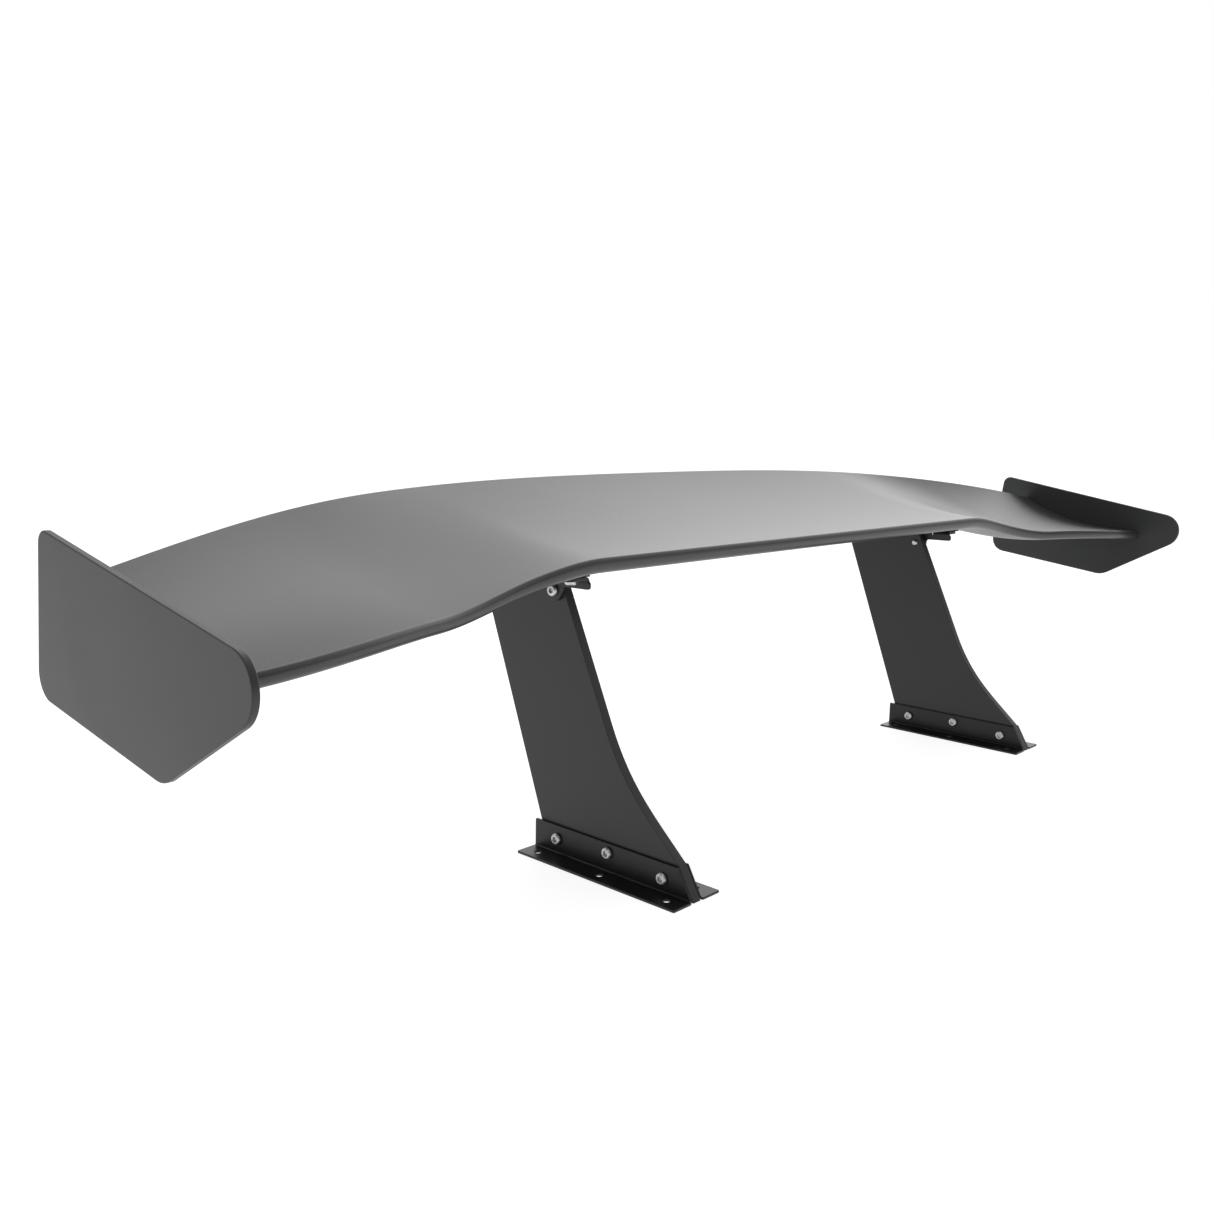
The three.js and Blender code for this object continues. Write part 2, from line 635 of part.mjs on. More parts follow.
for (const { label, side } of sides) {
  const tipShape = ringShape(fullSectionRing(bladeEnd));
  const bondShape = ringShape(fullSectionRing(capOuter));
  wing.add(toMesh(`tip_cap_${label}`, slab(tipShape, capInner, tipCapThickness, side), mouldedAbs));
  wing.add(toMesh(`bond_pad_${label}`,
    slab(bondShape, bondOuter - bondThickness, bondThickness, side), rubber));
  wing.add(toMesh(`end_plate_${label}`,
    slab(roundedOutline(endPlateCorners), endPlateInner, endPlateThickness, side), plateAbs));

  wing.add(toMesh(`bracket_${label}`, bracketSolid(side), blackAlloy));
  tabs.forEach((tab, i) => {
    const name = `${label}_${tabNames[i]}`;
    const hole = tabHole(tab, side);
    const pad = tabBlock(tab, side, {
      inner: legInnerX + seat, width: tabWidth, length: tabLength + padMargin,
      thickness: padThickness + curveAllowance,
      drop: tabTopDrop - seat - padThickness - curveAllowance,
    });
    wing.add(toMesh(`blade_pad_${name}`,
      pad.subtract(bladeEnvelope.translate(0, 0, -seat)).subtract(hole), rubber));
    const backing = tabBlock(tab, side, {
      inner: standOuter + tabScrewInset - backingSize / 2, width: backingSize, length: backingSize,
      thickness: backingThickness + curveAllowance,
      drop: -skinThickness - backingThickness - seat,
    });
    wing.add(toMesh(`backing_plate_${name}`,
      backing.subtract(plainLowerSkin.translate(0, 0, seat)).subtract(hole), bareAlloy));
    const down = new THREE.Vector3(0, Math.sin(tab.slope), -Math.cos(tab.slope));
    const head = new THREE.Vector3(side * (standOuter + tabScrewInset), tab.y, tab.z)
      .addScaledVector(down, tabTopDrop + bracketThickness + seat);
    wing.add(placed(`blade_screw_${name}`, bladeScrew, steel, head, down));
  });
}

// The origin lies under the middle of the whole wing, on the ground plane.
const racingWing = new THREE.Group();
racingWing.add(stands, wing);
const box = new THREE.Box3().setFromObject(racingWing);
racingWing.position.y = -(box.min.y + box.max.y) / 2;

export default racingWing;
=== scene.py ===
"""Racing rear wing: the looks of a moulded blade on two black alloy stands.

Metres, +X along the span, +Y to the rear of the car, +Z up. Shapes are worked out in
millimetres and turned to metres as each mesh is made.
"""
import math

import bmesh
import bpy
from mathutils import Matrix, Vector


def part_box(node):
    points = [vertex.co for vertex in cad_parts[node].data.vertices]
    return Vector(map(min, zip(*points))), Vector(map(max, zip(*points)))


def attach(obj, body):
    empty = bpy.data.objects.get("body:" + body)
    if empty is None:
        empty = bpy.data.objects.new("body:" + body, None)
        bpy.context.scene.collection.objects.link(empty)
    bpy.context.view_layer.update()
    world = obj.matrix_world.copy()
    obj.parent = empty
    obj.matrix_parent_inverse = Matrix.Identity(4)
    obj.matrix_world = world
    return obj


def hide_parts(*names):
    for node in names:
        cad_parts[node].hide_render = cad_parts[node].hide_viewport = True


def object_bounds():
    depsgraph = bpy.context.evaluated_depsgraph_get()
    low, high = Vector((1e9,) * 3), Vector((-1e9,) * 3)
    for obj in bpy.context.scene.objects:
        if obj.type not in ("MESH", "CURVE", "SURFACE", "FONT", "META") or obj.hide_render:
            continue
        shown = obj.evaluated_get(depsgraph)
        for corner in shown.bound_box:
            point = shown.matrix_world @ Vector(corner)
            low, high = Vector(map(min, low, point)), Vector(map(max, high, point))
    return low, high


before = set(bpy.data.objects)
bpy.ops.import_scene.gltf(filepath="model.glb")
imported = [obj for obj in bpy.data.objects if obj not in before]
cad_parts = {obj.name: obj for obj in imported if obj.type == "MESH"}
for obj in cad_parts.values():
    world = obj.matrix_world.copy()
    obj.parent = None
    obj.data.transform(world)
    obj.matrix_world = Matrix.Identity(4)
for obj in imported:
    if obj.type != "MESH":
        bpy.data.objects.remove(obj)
cad_low, cad_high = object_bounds()


# ======================================================================= camera
# A standing person's crouched view from in front of the left end plate, along the span.

CAMERA_PLACE = Vector((-1.0246, -0.7041, 0.3855))
CAMERA_YAW = math.radians(47.31)    # from the rearward direction towards the right
CAMERA_PITCH = math.radians(9.25)   # downwards
CAMERA_ROLL = math.radians(1.15)
CAMERA_LENS = 34.55                 # mm on a 36 mm sensor

forward = Vector((
    math.sin(CAMERA_YAW) * math.cos(CAMERA_PITCH),
    math.cos(CAMERA_YAW) * math.cos(CAMERA_PITCH),
    -math.sin(CAMERA_PITCH),
))
level_right = Vector((math.cos(CAMERA_YAW), -math.sin(CAMERA_YAW), 0))
level_up = level_right.cross(forward)
camera_right = math.cos(CAMERA_ROLL) * level_right + math.sin(CAMERA_ROLL) * level_up
camera_up = -math.sin(CAMERA_ROLL) * level_right + math.cos(CAMERA_ROLL) * level_up

camera_data = bpy.data.cameras.new("camera")
camera_data.lens = CAMERA_LENS
camera_data.sensor_width = 36
camera = bpy.data.objects.new("camera", camera_data)
camera.matrix_world = Matrix.Translation(CAMERA_PLACE) @ Matrix(
    (camera_right, camera_up, -forward)).transposed().to_4x4()
bpy.context.scene.collection.objects.link(camera)
bpy.context.scene.camera = camera
bpy.context.scene.view_settings.view_transform = "Standard"


# ======================================================================= studio
# A pale seamless floor, lit from below like a light table, under a white tent. The far
# side of the tent glows, most of all low on the right, and its open side is dimmer.

def linear(hex_colour):
    """The linear RGBA of an sRGB hex colour such as '#8a8b8c'."""
    channels = [int(hex_colour[i:i + 2], 16) / 255 for i in (1, 3, 5)]
    return [c / 12.92 if c <= 0.04045 else ((c + 0.055) / 1.055) ** 2.4 for c in channels] + [1]


def add_node(tree, kind, links=None, **settings):
    """Adds a node. links gives an input a value, or joins another node's output to it."""
    node = tree.nodes.new(kind)
    for name, value in settings.items():
        setattr(node, name, value)
    for socket, source in (links or {}).items():
        if isinstance(source, bpy.types.NodeSocket):
            tree.links.new(source, node.inputs[socket])
        else:
            node.inputs[socket].default_value = source
    return node


def blank_material(name):
    """A new material and its empty node tree."""
    material = bpy.data.materials.new(name)
    material.use_nodes = True
    material.node_tree.nodes.clear()
    return material, material.node_tree


TENT_WHITE = linear("#ffffff")
TENT_BRIGHT = 0.70          # strength of the tent's far side
TENT_DIM = 0.28             # strength of its open side
TENT_GLOW = 1.75             # strength that the low lamps on the right add to it
GLOW_TOWARDS = (0.925, 0.345, 0.160)
GLOW_EDGE = 0.80            # cosine of the angle from its middle at which the glow ends
GLOW_FULL = 0.96            # and within which it is at full strength
TENT_LIFT = 0.55            # how much higher parts of the tent count as its far side
FLOOR_GLOW = 0.80           # light that comes up through the floor
FLOOR_RADIUS = 30           # metres

world = bpy.data.worlds.new("white_tent")
bpy.context.scene.world = world
world.use_nodes = True
world.node_tree.nodes.clear()
tent = world.node_tree
direction = add_node(tent, "ShaderNodeTexCoord").outputs["Generated"]
towards_far_side = add_node(
    tent, "ShaderNodeVectorMath",
    {0: direction, 1: (forward.x, forward.y, TENT_LIFT)}, operation="DOT_PRODUCT")
strength = add_node(
    tent, "ShaderNodeMapRange",
    {"Value": towards_far_side.outputs["Value"], "From Min": -0.5, "From Max": 0.7,
     "To Min": TENT_DIM, "To Max": TENT_BRIGHT}, interpolation_type="SMOOTHSTEP")
towards_glow = add_node(
    tent, "ShaderNodeVectorMath", {0: direction, 1: GLOW_TOWARDS}, operation="DOT_PRODUCT")
glow = add_node(
    tent, "ShaderNodeMapRange",
    {"Value": towards_glow.outputs["Value"], "From Min": GLOW_EDGE, "From Max": GLOW_FULL,
     "To Min": 0.0, "To Max": TENT_GLOW}, interpolation_type="SMOOTHSTEP")
total = add_node(tent, "ShaderNodeMath", {0: strength.outputs[0], 1: glow.outputs[0]})
lighting = add_node(
    tent, "ShaderNodeBackground", {"Color": TENT_WHITE, "Strength": total.outputs[0]})
backdrop = add_node(tent, "ShaderNodeBackground", {"Color": TENT_WHITE, "Strength": 1.0})
seen_directly = add_node(tent, "ShaderNodeLightPath").outputs["Is Camera Ray"]
either = add_node(
    tent, "ShaderNodeMixShader",
    {0: seen_directly, 1: lighting.outputs[0], 2: backdrop.outputs[0]})
add_node(tent, "ShaderNodeOutputWorld", {"Surface": either.outputs[0]})

floor_mesh = bpy.data.meshes.new("floor")
shape = bmesh.new()
bmesh.ops.create_circle(shape, cap_ends=True, radius=FLOOR_RADIUS, segments=96)
shape.to_mesh(floor_mesh)
floor = bpy.data.objects.new("floor", floor_mesh)
bpy.context.scene.collection.objects.link(floor)

# Matt pale paper, lit through from below: it gives no gloss and swallows the shadows.
paper, tree = blank_material("matt_background_paper")
shader = add_node(
    tree, "ShaderNodeBsdfPrincipled",
    {"Base Color": linear("#adadad"), "Roughness": 0.9, "Specular IOR Level": 0.2,
     "Emission Color": TENT_WHITE, "Emission Strength": FLOOR_GLOW})
add_node(tree, "ShaderNodeOutputMaterial", {"Surface": shader.outputs[0]})
floor_mesh.materials.append(paper)

LAMP_AIM = Vector((0, 0, 0.25))
for lamp_name, place, size, watts in (
    ("ceiling_softbox", Vector((0.2, 1.3, 2.6)), 2.6, 32),
    ("left_softbox", Vector((-2.6, -0.4, 1.3)), 1.4, 8),
):
    lamp_data = bpy.data.lights.new(lamp_name, "AREA")
    lamp_data.size = size
    lamp_data.energy = watts
    lamp = bpy.data.objects.new(lamp_name, lamp_data)
    lamp.location = place
    aim = LAMP_AIM - place
    lamp.rotation_euler = aim.to_track_quat("-Z", "Y").to_euler()
    bpy.context.scene.collection.objects.link(lamp)


# ======================================================================= stands
# Two upright plates that carry the blade. Each is cut from 9.5 mm aluminium plate and
# powder coated satin black. Its front edge curves forward into the foot.

SHARP_ANGLE = math.radians(32)
MM = 0.001
WELD_DISTANCE = 0.002          # mm, below which points of a cut plate are one


def rounded_outline(corners, steps=10):
    """Points of a closed outline through (a, b, radius) corners, each rounded by its radius."""
    points = []
    for i, (a, b, radius) in enumerate(corners):
        here = Vector((a, b))
        if radius == 0:
            points.append(here)
            continue
        before = (Vector(corners[i - 1][:2]) - here).normalized()
        after = (Vector(corners[(i + 1) % len(corners)][:2]) - here).normalized()
        half = before.angle(after) / 2
        centre = here + (before + after).normalized() * radius / math.sin(half)
        start = here + before * radius / math.tan(half) - centre
        turn = (math.pi - 2 * half) * (1 if before.x * after.y < before.y * after.x else -1)
        for k in range(steps + 1):
            points.append(centre + Matrix.Rotation(turn * k / steps, 2) @ start)
    return points


def circle(a, b, radius, steps=32):
    """Points of a round hole."""
    return [Vector((a + radius * math.cos(2 * math.pi * k / steps),
                    b + radius * math.sin(2 * math.pi * k / steps))) for k in range(steps)]


def bezier(start, handle_a, handle_b, end, steps):
    """Points of a cubic curve, leaving out its start."""
    found = []
    for k in range(1, steps + 1):
        t = k / steps
        found.append(start * (1 - t) ** 3 + handle_a * 3 * t * (1 - t) ** 2
                     + handle_b * 3 * t * t * (1 - t) + end * t ** 3)
    return found


def plate(outline, holes, thickness, bevel):
    """A flat plate in (a, b) with rounded rims, its thickness centred on c = 0, as a bmesh in mm."""
    curve = bpy.data.curves.new("outline", "CURVE")
    curve.dimensions = "2D"
    curve.fill_mode = "BOTH"
    curve.extrude = thickness / 2 - bevel
    curve.bevel_depth = bevel
    curve.bevel_resolution = 2
    curve.offset = -bevel
    for loop in [outline, *holes]:
        spline = curve.splines.new("POLY")
        spline.points.add(len(loop) - 1)
        for point, (a, b) in zip(spline.points, loop):
            point.co = (a, b, 0, 1)
        spline.use_cyclic_u = True
    holder = bpy.data.objects.new("outline", curve)
    bpy.context.scene.collection.objects.link(holder)
    drawn = bpy.data.meshes.new_from_object(
        holder.evaluated_get(bpy.context.evaluated_depsgraph_get()))
    sheet = bmesh.new()
    sheet.from_mesh(drawn)
    bpy.data.objects.remove(holder)
    bpy.data.curves.remove(curve)
    bpy.data.meshes.remove(drawn)
    bmesh.ops.remove_doubles(sheet, verts=sheet.verts, dist=WELD_DISTANCE)
    bmesh.ops.recalc_face_normals(sheet, faces=sheet.faces)
    return sheet


def face_outwards(shape):
    if shape.calc_volume(signed=True) < 0:
        bmesh.ops.reverse_faces(shape, faces=shape.faces)


def drill(shape, cutters):
    """Takes the cutters, each a bmesh, out of a bmesh."""
    holders = []
    for solid in (shape, *cutters):
        face_outwards(solid)
        drawn = bpy.data.meshes.new("cut")
        solid.to_mesh(drawn)
        solid.free()
        holders.append(bpy.data.objects.new("cut", drawn))
        bpy.context.scene.collection.objects.link(holders[-1])
    for cutter in holders[1:]:
        hole = holders[0].modifiers.new("hole", "BOOLEAN")
        hole.operation = "DIFFERENCE"
        hole.object = cutter
    result = bmesh.new()
    result.from_object(holders[0], bpy.context.evaluated_depsgraph_get())
    for holder in holders:
        drawn = holder.data
        bpy.data.objects.remove(holder)
        bpy.data.meshes.remove(drawn)
    return result


def add_piece(name, shape, place, body, material, nodes):
    """Makes a piece from a bmesh in mm. place maps a point of the bmesh to (x, y, z) in mm."""
    for vertex in shape.verts:
        vertex.co = Vector(place(*vertex.co))
    face_outwards(shape)
    bmesh.ops.scale(shape, verts=shape.verts, vec=(MM, MM, MM))
    for face in shape.faces:
        face.smooth = True
    mesh = bpy.data.meshes.new(name)
    shape.to_mesh(mesh)
    shape.free()
    mesh.set_sharp_from_angle(angle=SHARP_ANGLE)
    mesh.materials.append(material)
    piece = bpy.data.objects.new(name, mesh)
    bpy.context.scene.collection.objects.link(piece)
    even = piece.modifiers.new("even_normals", "WEIGHTED_NORMAL")
    even.keep_sharp = True
    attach(piece, body)
    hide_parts(*nodes)
    return piece


# Powder coat over aluminium. The coat is what shows: a dielectric with a soft gloss and
# the faint orange peel of cured powder, which breaks up reflections on the flat faces.
# The peel is about 0.8 mm across, and is drawn at 2.5 mm so that it shows.
COAT_BLACK = linear("#18191a")
COAT_GREY = linear("#202122")
PEEL_SIZE = 2.5
COAT_CLOUD_SIZE = 70

powder_coat, tree = blank_material("satin_black_powder_coat")
here = add_node(tree, "ShaderNodeTexCoord").outputs["Object"]
peel = add_node(tree, "ShaderNodeTexNoise",
                {"Vector": here, "Scale": 1 / (PEEL_SIZE * MM), "Detail": 2.0})
cloud = add_node(tree, "ShaderNodeTexNoise",
                 {"Vector": here, "Scale": 1 / (COAT_CLOUD_SIZE * MM), "Detail": 3.0})
tone = add_node(tree, "ShaderNodeMix",
                {"Factor": cloud.outputs["Fac"], "A": COAT_BLACK, "B": COAT_GREY},
                data_type="RGBA")
gloss = add_node(tree, "ShaderNodeMapRange",
                 {"Value": cloud.outputs["Fac"], "To Min": 0.40, "To Max": 0.50})
relief = add_node(tree, "ShaderNodeBump",
                  {"Height": peel.outputs["Fac"], "Strength": 0.12, "Distance": 0.1 * MM})
shader = add_node(tree, "ShaderNodeBsdfPrincipled",
                  {"Base Color": tone.outputs["Result"], "Roughness": gloss.outputs[0],
                   "Normal": relief.outputs[0], "IOR": 1.5})
add_node(tree, "ShaderNodeOutputMaterial", {"Surface": shader.outputs[0]})

STAND_REAR_FOOT = 74.5         # y of the rear edge at the ground
STAND_REAR_TOP = 175.6         # and at the top
STAND_FRONT_TOP = 65.5
STAND_FRONT_LEAN = 0.46        # how far the front edge runs back for each mm up
STAND_STRAIGHT_TO = 128        # height where the front edge starts to curve forward
STAND_TOP_FRONT = 249.5
STAND_RISE = 0.5
STAND_TOP_LIFT = 0.4           # of the rear corner, which its rounding takes off again
STAND_CORNER = 3
TOE_SPREAD = 0.72              # pull of the curve at the foot, forward and upward
TOE_LIFT = 0.66
FRONT_CURVE_STEPS = 28
STAND_BEVEL = 0.5
ANGLE_HEIGHT = 27
ANGLE_FRONT = -91.4
ANGLE_SLANT = 15.6
HOLE_RADIUS = 3.3

# y above is counted from the middle of the feet, and rear_shift takes it to the frame.
rear_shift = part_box("foot_angle_left_outboard")[0].y / MM - ANGLE_FRONT


def toe_y(z):
    """y of the slanted front end of a foot at a height."""
    return ANGLE_FRONT + ANGLE_SLANT * z / ANGLE_HEIGHT


def centre_of(node):
    """Middle of a CAD node's box, in mm."""
    low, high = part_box(node)
    return (low + high) / 2 / MM


for label in ("left", "right"):
    low, high = (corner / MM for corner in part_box(f"stand_{label}"))
    knee = Vector((STAND_FRONT_TOP - STAND_FRONT_LEAN * (STAND_TOP_FRONT - STAND_STRAIGHT_TO),
                   STAND_STRAIGHT_TO))
    reach = (STAND_STRAIGHT_TO - ANGLE_HEIGHT) / 2
    toe_top = Vector((toe_y(ANGLE_HEIGHT), ANGLE_HEIGHT))
    foot_rear = STAND_REAR_FOOT + (STAND_REAR_TOP - STAND_REAR_FOOT) * STAND_RISE / high.z
    outline = rounded_outline([
        (toe_y(STAND_RISE), STAND_RISE, 0), (foot_rear, STAND_RISE, 0),
        (STAND_REAR_TOP, high.z + STAND_TOP_LIFT, STAND_CORNER),
        (STAND_FRONT_TOP, STAND_TOP_FRONT, STAND_CORNER), (knee.x, knee.y, 0)])
    outline += bezier(knee, knee + Vector((-STAND_FRONT_LEAN * reach, -reach)),
                      toe_top + Vector((TOE_SPREAD * reach, TOE_LIFT * reach)), toe_top,
                      FRONT_CURVE_STEPS)
    drilled = [centre_of(f"{kind}_{label}") for kind in ("pivot_bolt", "adjuster_bolt")]
    drilled += [centre_of(f"foot_bolt_{label}_{i}") for i in (1, 2, 3)]
    add_piece(
        f"stand_plate_{label}",
        plate(outline, [circle(c.y - rear_shift, c.z, HOLE_RADIUS) for c in drilled],
              high.x - low.x, STAND_BEVEL),
        lambda a, b, c, middle=(low.x + high.x) / 2: (middle + c, a + rear_shift, b),
        "stands", powder_coat, [f"stand_{label}"])


# ======================================================================= foot angles
# Four angles, folded from 2.2 mm aluminium sheet and powder coated. A pair clamps each
# stand, and three holes in each floor flange take the screws into the boot lid.

# Gloss black powder coat: darker and smoother than the stands', so the floor shows in it.
GLOSS_BLACK = linear("#060606")
GLOSS_GREY = linear("#0b0b0b")
GLOSS_PEEL = 3.0

gloss_coat, tree = blank_material("gloss_black_powder_coat")
here = add_node(tree, "ShaderNodeTexCoord").outputs["Object"]
peel = add_node(tree, "ShaderNodeTexNoise",
                {"Vector": here, "Scale": 1 / (GLOSS_PEEL * MM), "Detail": 2.0})
tone = add_node(tree, "ShaderNodeMix",
                {"Factor": peel.outputs["Fac"], "A": GLOSS_BLACK, "B": GLOSS_GREY},
                data_type="RGBA")
relief = add_node(tree, "ShaderNodeBump",
                  {"Height": peel.outputs["Fac"], "Strength": 0.1, "Distance": 0.08 * MM})
shader = add_node(tree, "ShaderNodeBsdfPrincipled",
                  {"Base Color": tone.outputs["Result"], "Roughness": 0.38,
                   "Normal": relief.outputs[0], "IOR": 1.45})
add_node(tree, "ShaderNodeOutputMaterial", {"Surface": shader.outputs[0]})

ANGLE_THICKNESS = 2.2
ANGLE_BEND = 1.0               # inside radius of the fold
ANGLE_BEVEL = 0.35
FLANGE_CORNER = 1.2
LEG_CORNER = 1.0
FLOOR_HOLE_RADIUS = 3.25
FLOOR_HOLE_FROM_LEG = 13.5     # from the face that lies on the stand
FLOOR_HOLES_Y = (74.5, 0, -74.5)
FOLD_STEPS = 6
FOLD_REACH = 0.5               # how far before a cut across the fold faces are looked at
FOLD_WELD = 1e-4


def fold(sheet, bend_radius, thickness, line=lambda a, b: (a, b), back=lambda u, v: (u, v),
         inside=lambda u: True):
    """Folds a sheet up by a right angle along v = 0, where line gives (u, v) from (a, b)."""
    neutral = bend_radius + thickness / 2
    arc = neutral * math.pi / 2
    for k in range(FOLD_STEPS + 1):
        v = arc * k / FOLD_STEPS
        faces = [f for f in sheet.faces
                 if any(inside(line(q.co.x, q.co.y)[0]) for q in f.verts)
                 and max(line(q.co.x, q.co.y)[1] for q in f.verts) > v - FOLD_REACH]
        edges = {e for f in faces for e in f.edges}
        corners = {q for f in faces for q in f.verts}
        on_line = Vector((*back(0, v), 0))
        across = (Vector((*back(0, v + 1), 0)) - on_line).normalized()
        bmesh.ops.bisect_plane(sheet, geom=[*faces, *edges, *corners], dist=FOLD_WELD,
                               plane_co=on_line, plane_no=across)
    for vertex in sheet.verts:
        u, v = line(vertex.co.x, vertex.co.y)
        w = vertex.co.z
        if v <= 0 or not inside(u):
            continue
        if v < arc:
            turned = v / neutral
            v_now = (neutral - w) * math.sin(turned)
            w_now = neutral - (neutral - w) * math.cos(turned)
        else:
            v_now = neutral - w
            w_now = neutral + v - arc
        vertex.co.x, vertex.co.y = back(u, v_now)
        vertex.co.z = w_now
    return arc


for label, stand_side in (("left", -1), ("right", 1)):
    for end in ("outboard", "inboard"):
        node = f"foot_angle_{label}_{end}"
        low, high = (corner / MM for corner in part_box(node))
        away = stand_side if end == "outboard" else -stand_side
        leg_face = low.x if away > 0 else high.x
        neutral = ANGLE_BEND + ANGLE_THICKNESS / 2
        corner_size = neutral + ANGLE_THICKNESS / 2
        arc = neutral * math.pi / 2
        toe = (high.x - low.x) - corner_size
        leg_top = ANGLE_HEIGHT - corner_size + arc
        rear = high.y - rear_shift
        outline = rounded_outline([
            (ANGLE_FRONT, -toe, FLANGE_CORNER), (rear, -toe, FLANGE_CORNER),
            (rear, leg_top, LEG_CORNER), (ANGLE_FRONT + ANGLE_SLANT, leg_top, LEG_CORNER),
            (toe_y(corner_size), arc, 0),
            (ANGLE_FRONT, 0, 0)], steps=6)
        holes = [circle(y, corner_size - FLOOR_HOLE_FROM_LEG, FLOOR_HOLE_RADIUS)
                 for y in FLOOR_HOLES_Y]
        for i in (1, 2, 3):
            bolt = centre_of(f"foot_bolt_{label}_{i}")
            holes.append(circle(bolt.y - rear_shift, bolt.z - corner_size + arc, HOLE_RADIUS))
        sheet = plate(outline, holes, ANGLE_THICKNESS, ANGLE_BEVEL)
        fold(sheet, ANGLE_BEND, ANGLE_THICKNESS)
        add_piece(
            f"foot_angle_sheet_{label}_{end}", sheet,
            lambda a, b, c, face=leg_face, away=away, size=corner_size:
                (face + away * (size - b), a + rear_shift, c + ANGLE_THICKNESS / 2),
            "stands", gloss_coat, [node])


# ======================================================================= foot bolts
# Stainless steel M6 button-head screws, cold headed with a hexagon socket and rolled
# threads. Each goes through both angles and the stand, into a washer and a nut.

HEAD_RADIUS = 5.4
HEAD_HEIGHT = 3.3
HEAD_RIM = 0.8
CROWN_RADIUS = 3.5
SOCKET_APOTHEM = 2.35
SOCKET_FLOOR = 0.7
THREAD_RADIUS = 2.98
THREAD_CORE = 2.42
THREAD_PITCH = 1.0
THREADED = 9
THREAD_ROWS = 6                # rows of points in each turn of the thread
FIRST_ROW = 0.05               # from an end face to the next row of points
RUN_OUT = 0.5                  # from the thread to the plain shank
TIP_RADIUS = 1.9
TIP_CHAMFER = 2.2
SHANK_RADIUS = 2.93
RIM_ROUND = 0.2
SOCKET_CHAMFER = 0.22
SOCKET_CONE = 0.5
AROUND = 48
DOME_STEPS = 8


def turned(rows, ring=False, around=AROUND):
    """A closed solid turned about c from rows of (radius, c). A radius is a number, or a
    function of the angle. With ring=True the last row joins the first, round a bore."""
    shape = bmesh.new()
    loops = []
    for radius, c in rows:
        angles = [2 * math.pi * k / around for k in range(around)]
        radii = [radius(angle) if callable(radius) else radius for angle in angles]
        loops.append([shape.verts.new((r * math.cos(t), r * math.sin(t), c))
                      for r, t in zip(radii, angles)])
    for i in range(len(loops) - (0 if ring else 1)):
        near, far = loops[i], loops[(i + 1) % len(loops)]
        for k in range(around):
            after = (k + 1) % around
            shape.faces.new((near[k], near[after], far[after], far[k]))
    if not ring:
        shape.faces.new(reversed(loops[0]))
        shape.faces.new(loops[-1])
    return shape


def hexagon(apothem):
    """Radius of a hexagon at an angle."""
    return lambda angle: apothem / math.cos(angle % (math.pi / 3) - math.pi / 6)


def thread_row(c, widest):
    """Radius of a screw thread at height c, no wider than the tip's chamfer there."""
    def radius(angle):
        turn = (c / THREAD_PITCH + angle / (2 * math.pi)) % 1
        crest = 1 - abs(2 * turn - 1)
        return min(THREAD_CORE + (THREAD_RADIUS - THREAD_CORE) * crest, widest)
    return radius


def button_screw(length):
    """A button-head screw along c, its head's underside at c = 0 and its shank below."""
    rows = [(TIP_RADIUS, -length)]
    thread_rows = THREAD_ROWS * int(THREADED / THREAD_PITCH)
    for k in range(thread_rows + 1):
        c = -length + FIRST_ROW + THREADED * k / thread_rows
        rows.append((thread_row(c, TIP_CHAMFER + c + length), c))
    rows += [(SHANK_RADIUS, c + RUN_OUT), (SHANK_RADIUS, -FIRST_ROW)]
    rows += [(HEAD_RADIUS - RIM_ROUND, 0), (HEAD_RADIUS, RIM_ROUND)]
    for k in range(DOME_STEPS + 1):
        turn = math.pi / 2 * k / DOME_STEPS
        rows.append((CROWN_RADIUS + (HEAD_RADIUS - CROWN_RADIUS) * math.cos(turn),
                     HEAD_RIM + (HEAD_HEIGHT - HEAD_RIM) * math.sin(turn)))
    rows += [(hexagon(SOCKET_APOTHEM + SOCKET_CHAMFER), HEAD_HEIGHT),
             (hexagon(SOCKET_APOTHEM), HEAD_HEIGHT - SOCKET_CHAMFER),
             (hexagon(SOCKET_APOTHEM), SOCKET_FLOOR),
             (SOCKET_CONE, SOCKET_FLOOR - SOCKET_CONE)]
    return turned(rows)


def standing_on(place, direction):
    """Maps a piece made along c to a place, with c pointing along direction."""
    turn = Vector((0, 0, 1)).rotation_difference(direction).to_matrix()
    return lambda a, b, c: place + turn @ Vector((a, b, c))


# Stainless steel, cold headed and tumbled to a satin. It is a bare metal, so all its colour is
# reflection. Fine tumbling marks of about 0.1 mm, drawn at 0.5 mm, break the mirror up.
STEEL = linear("#d0d0d0")
STEEL_DULL = linear("#bcbcbd")
TUMBLE_SIZE = 0.5

stainless, tree = blank_material("tumbled_stainless_steel")
here = add_node(tree, "ShaderNodeTexCoord").outputs["Object"]
marks = add_node(tree, "ShaderNodeTexNoise",
                 {"Vector": here, "Scale": 1 / (TUMBLE_SIZE * MM), "Detail": 4.0})
tone = add_node(tree, "ShaderNodeMix",
                {"Factor": marks.outputs["Fac"], "A": STEEL, "B": STEEL_DULL},
                data_type="RGBA")
gloss = add_node(tree, "ShaderNodeMapRange",
                 {"Value": marks.outputs["Fac"], "To Min": 0.34, "To Max": 0.42})
relief = add_node(tree, "ShaderNodeBump",
                  {"Height": marks.outputs["Fac"], "Strength": 0.06, "Distance": 0.02 * MM})
shader = add_node(tree, "ShaderNodeBsdfPrincipled",
                  {"Base Color": tone.outputs["Result"], "Roughness": gloss.outputs[0],
                   "Normal": relief.outputs[0], "Metallic": 1.0})
add_node(tree, "ShaderNodeOutputMaterial", {"Surface": shader.outputs[0]})

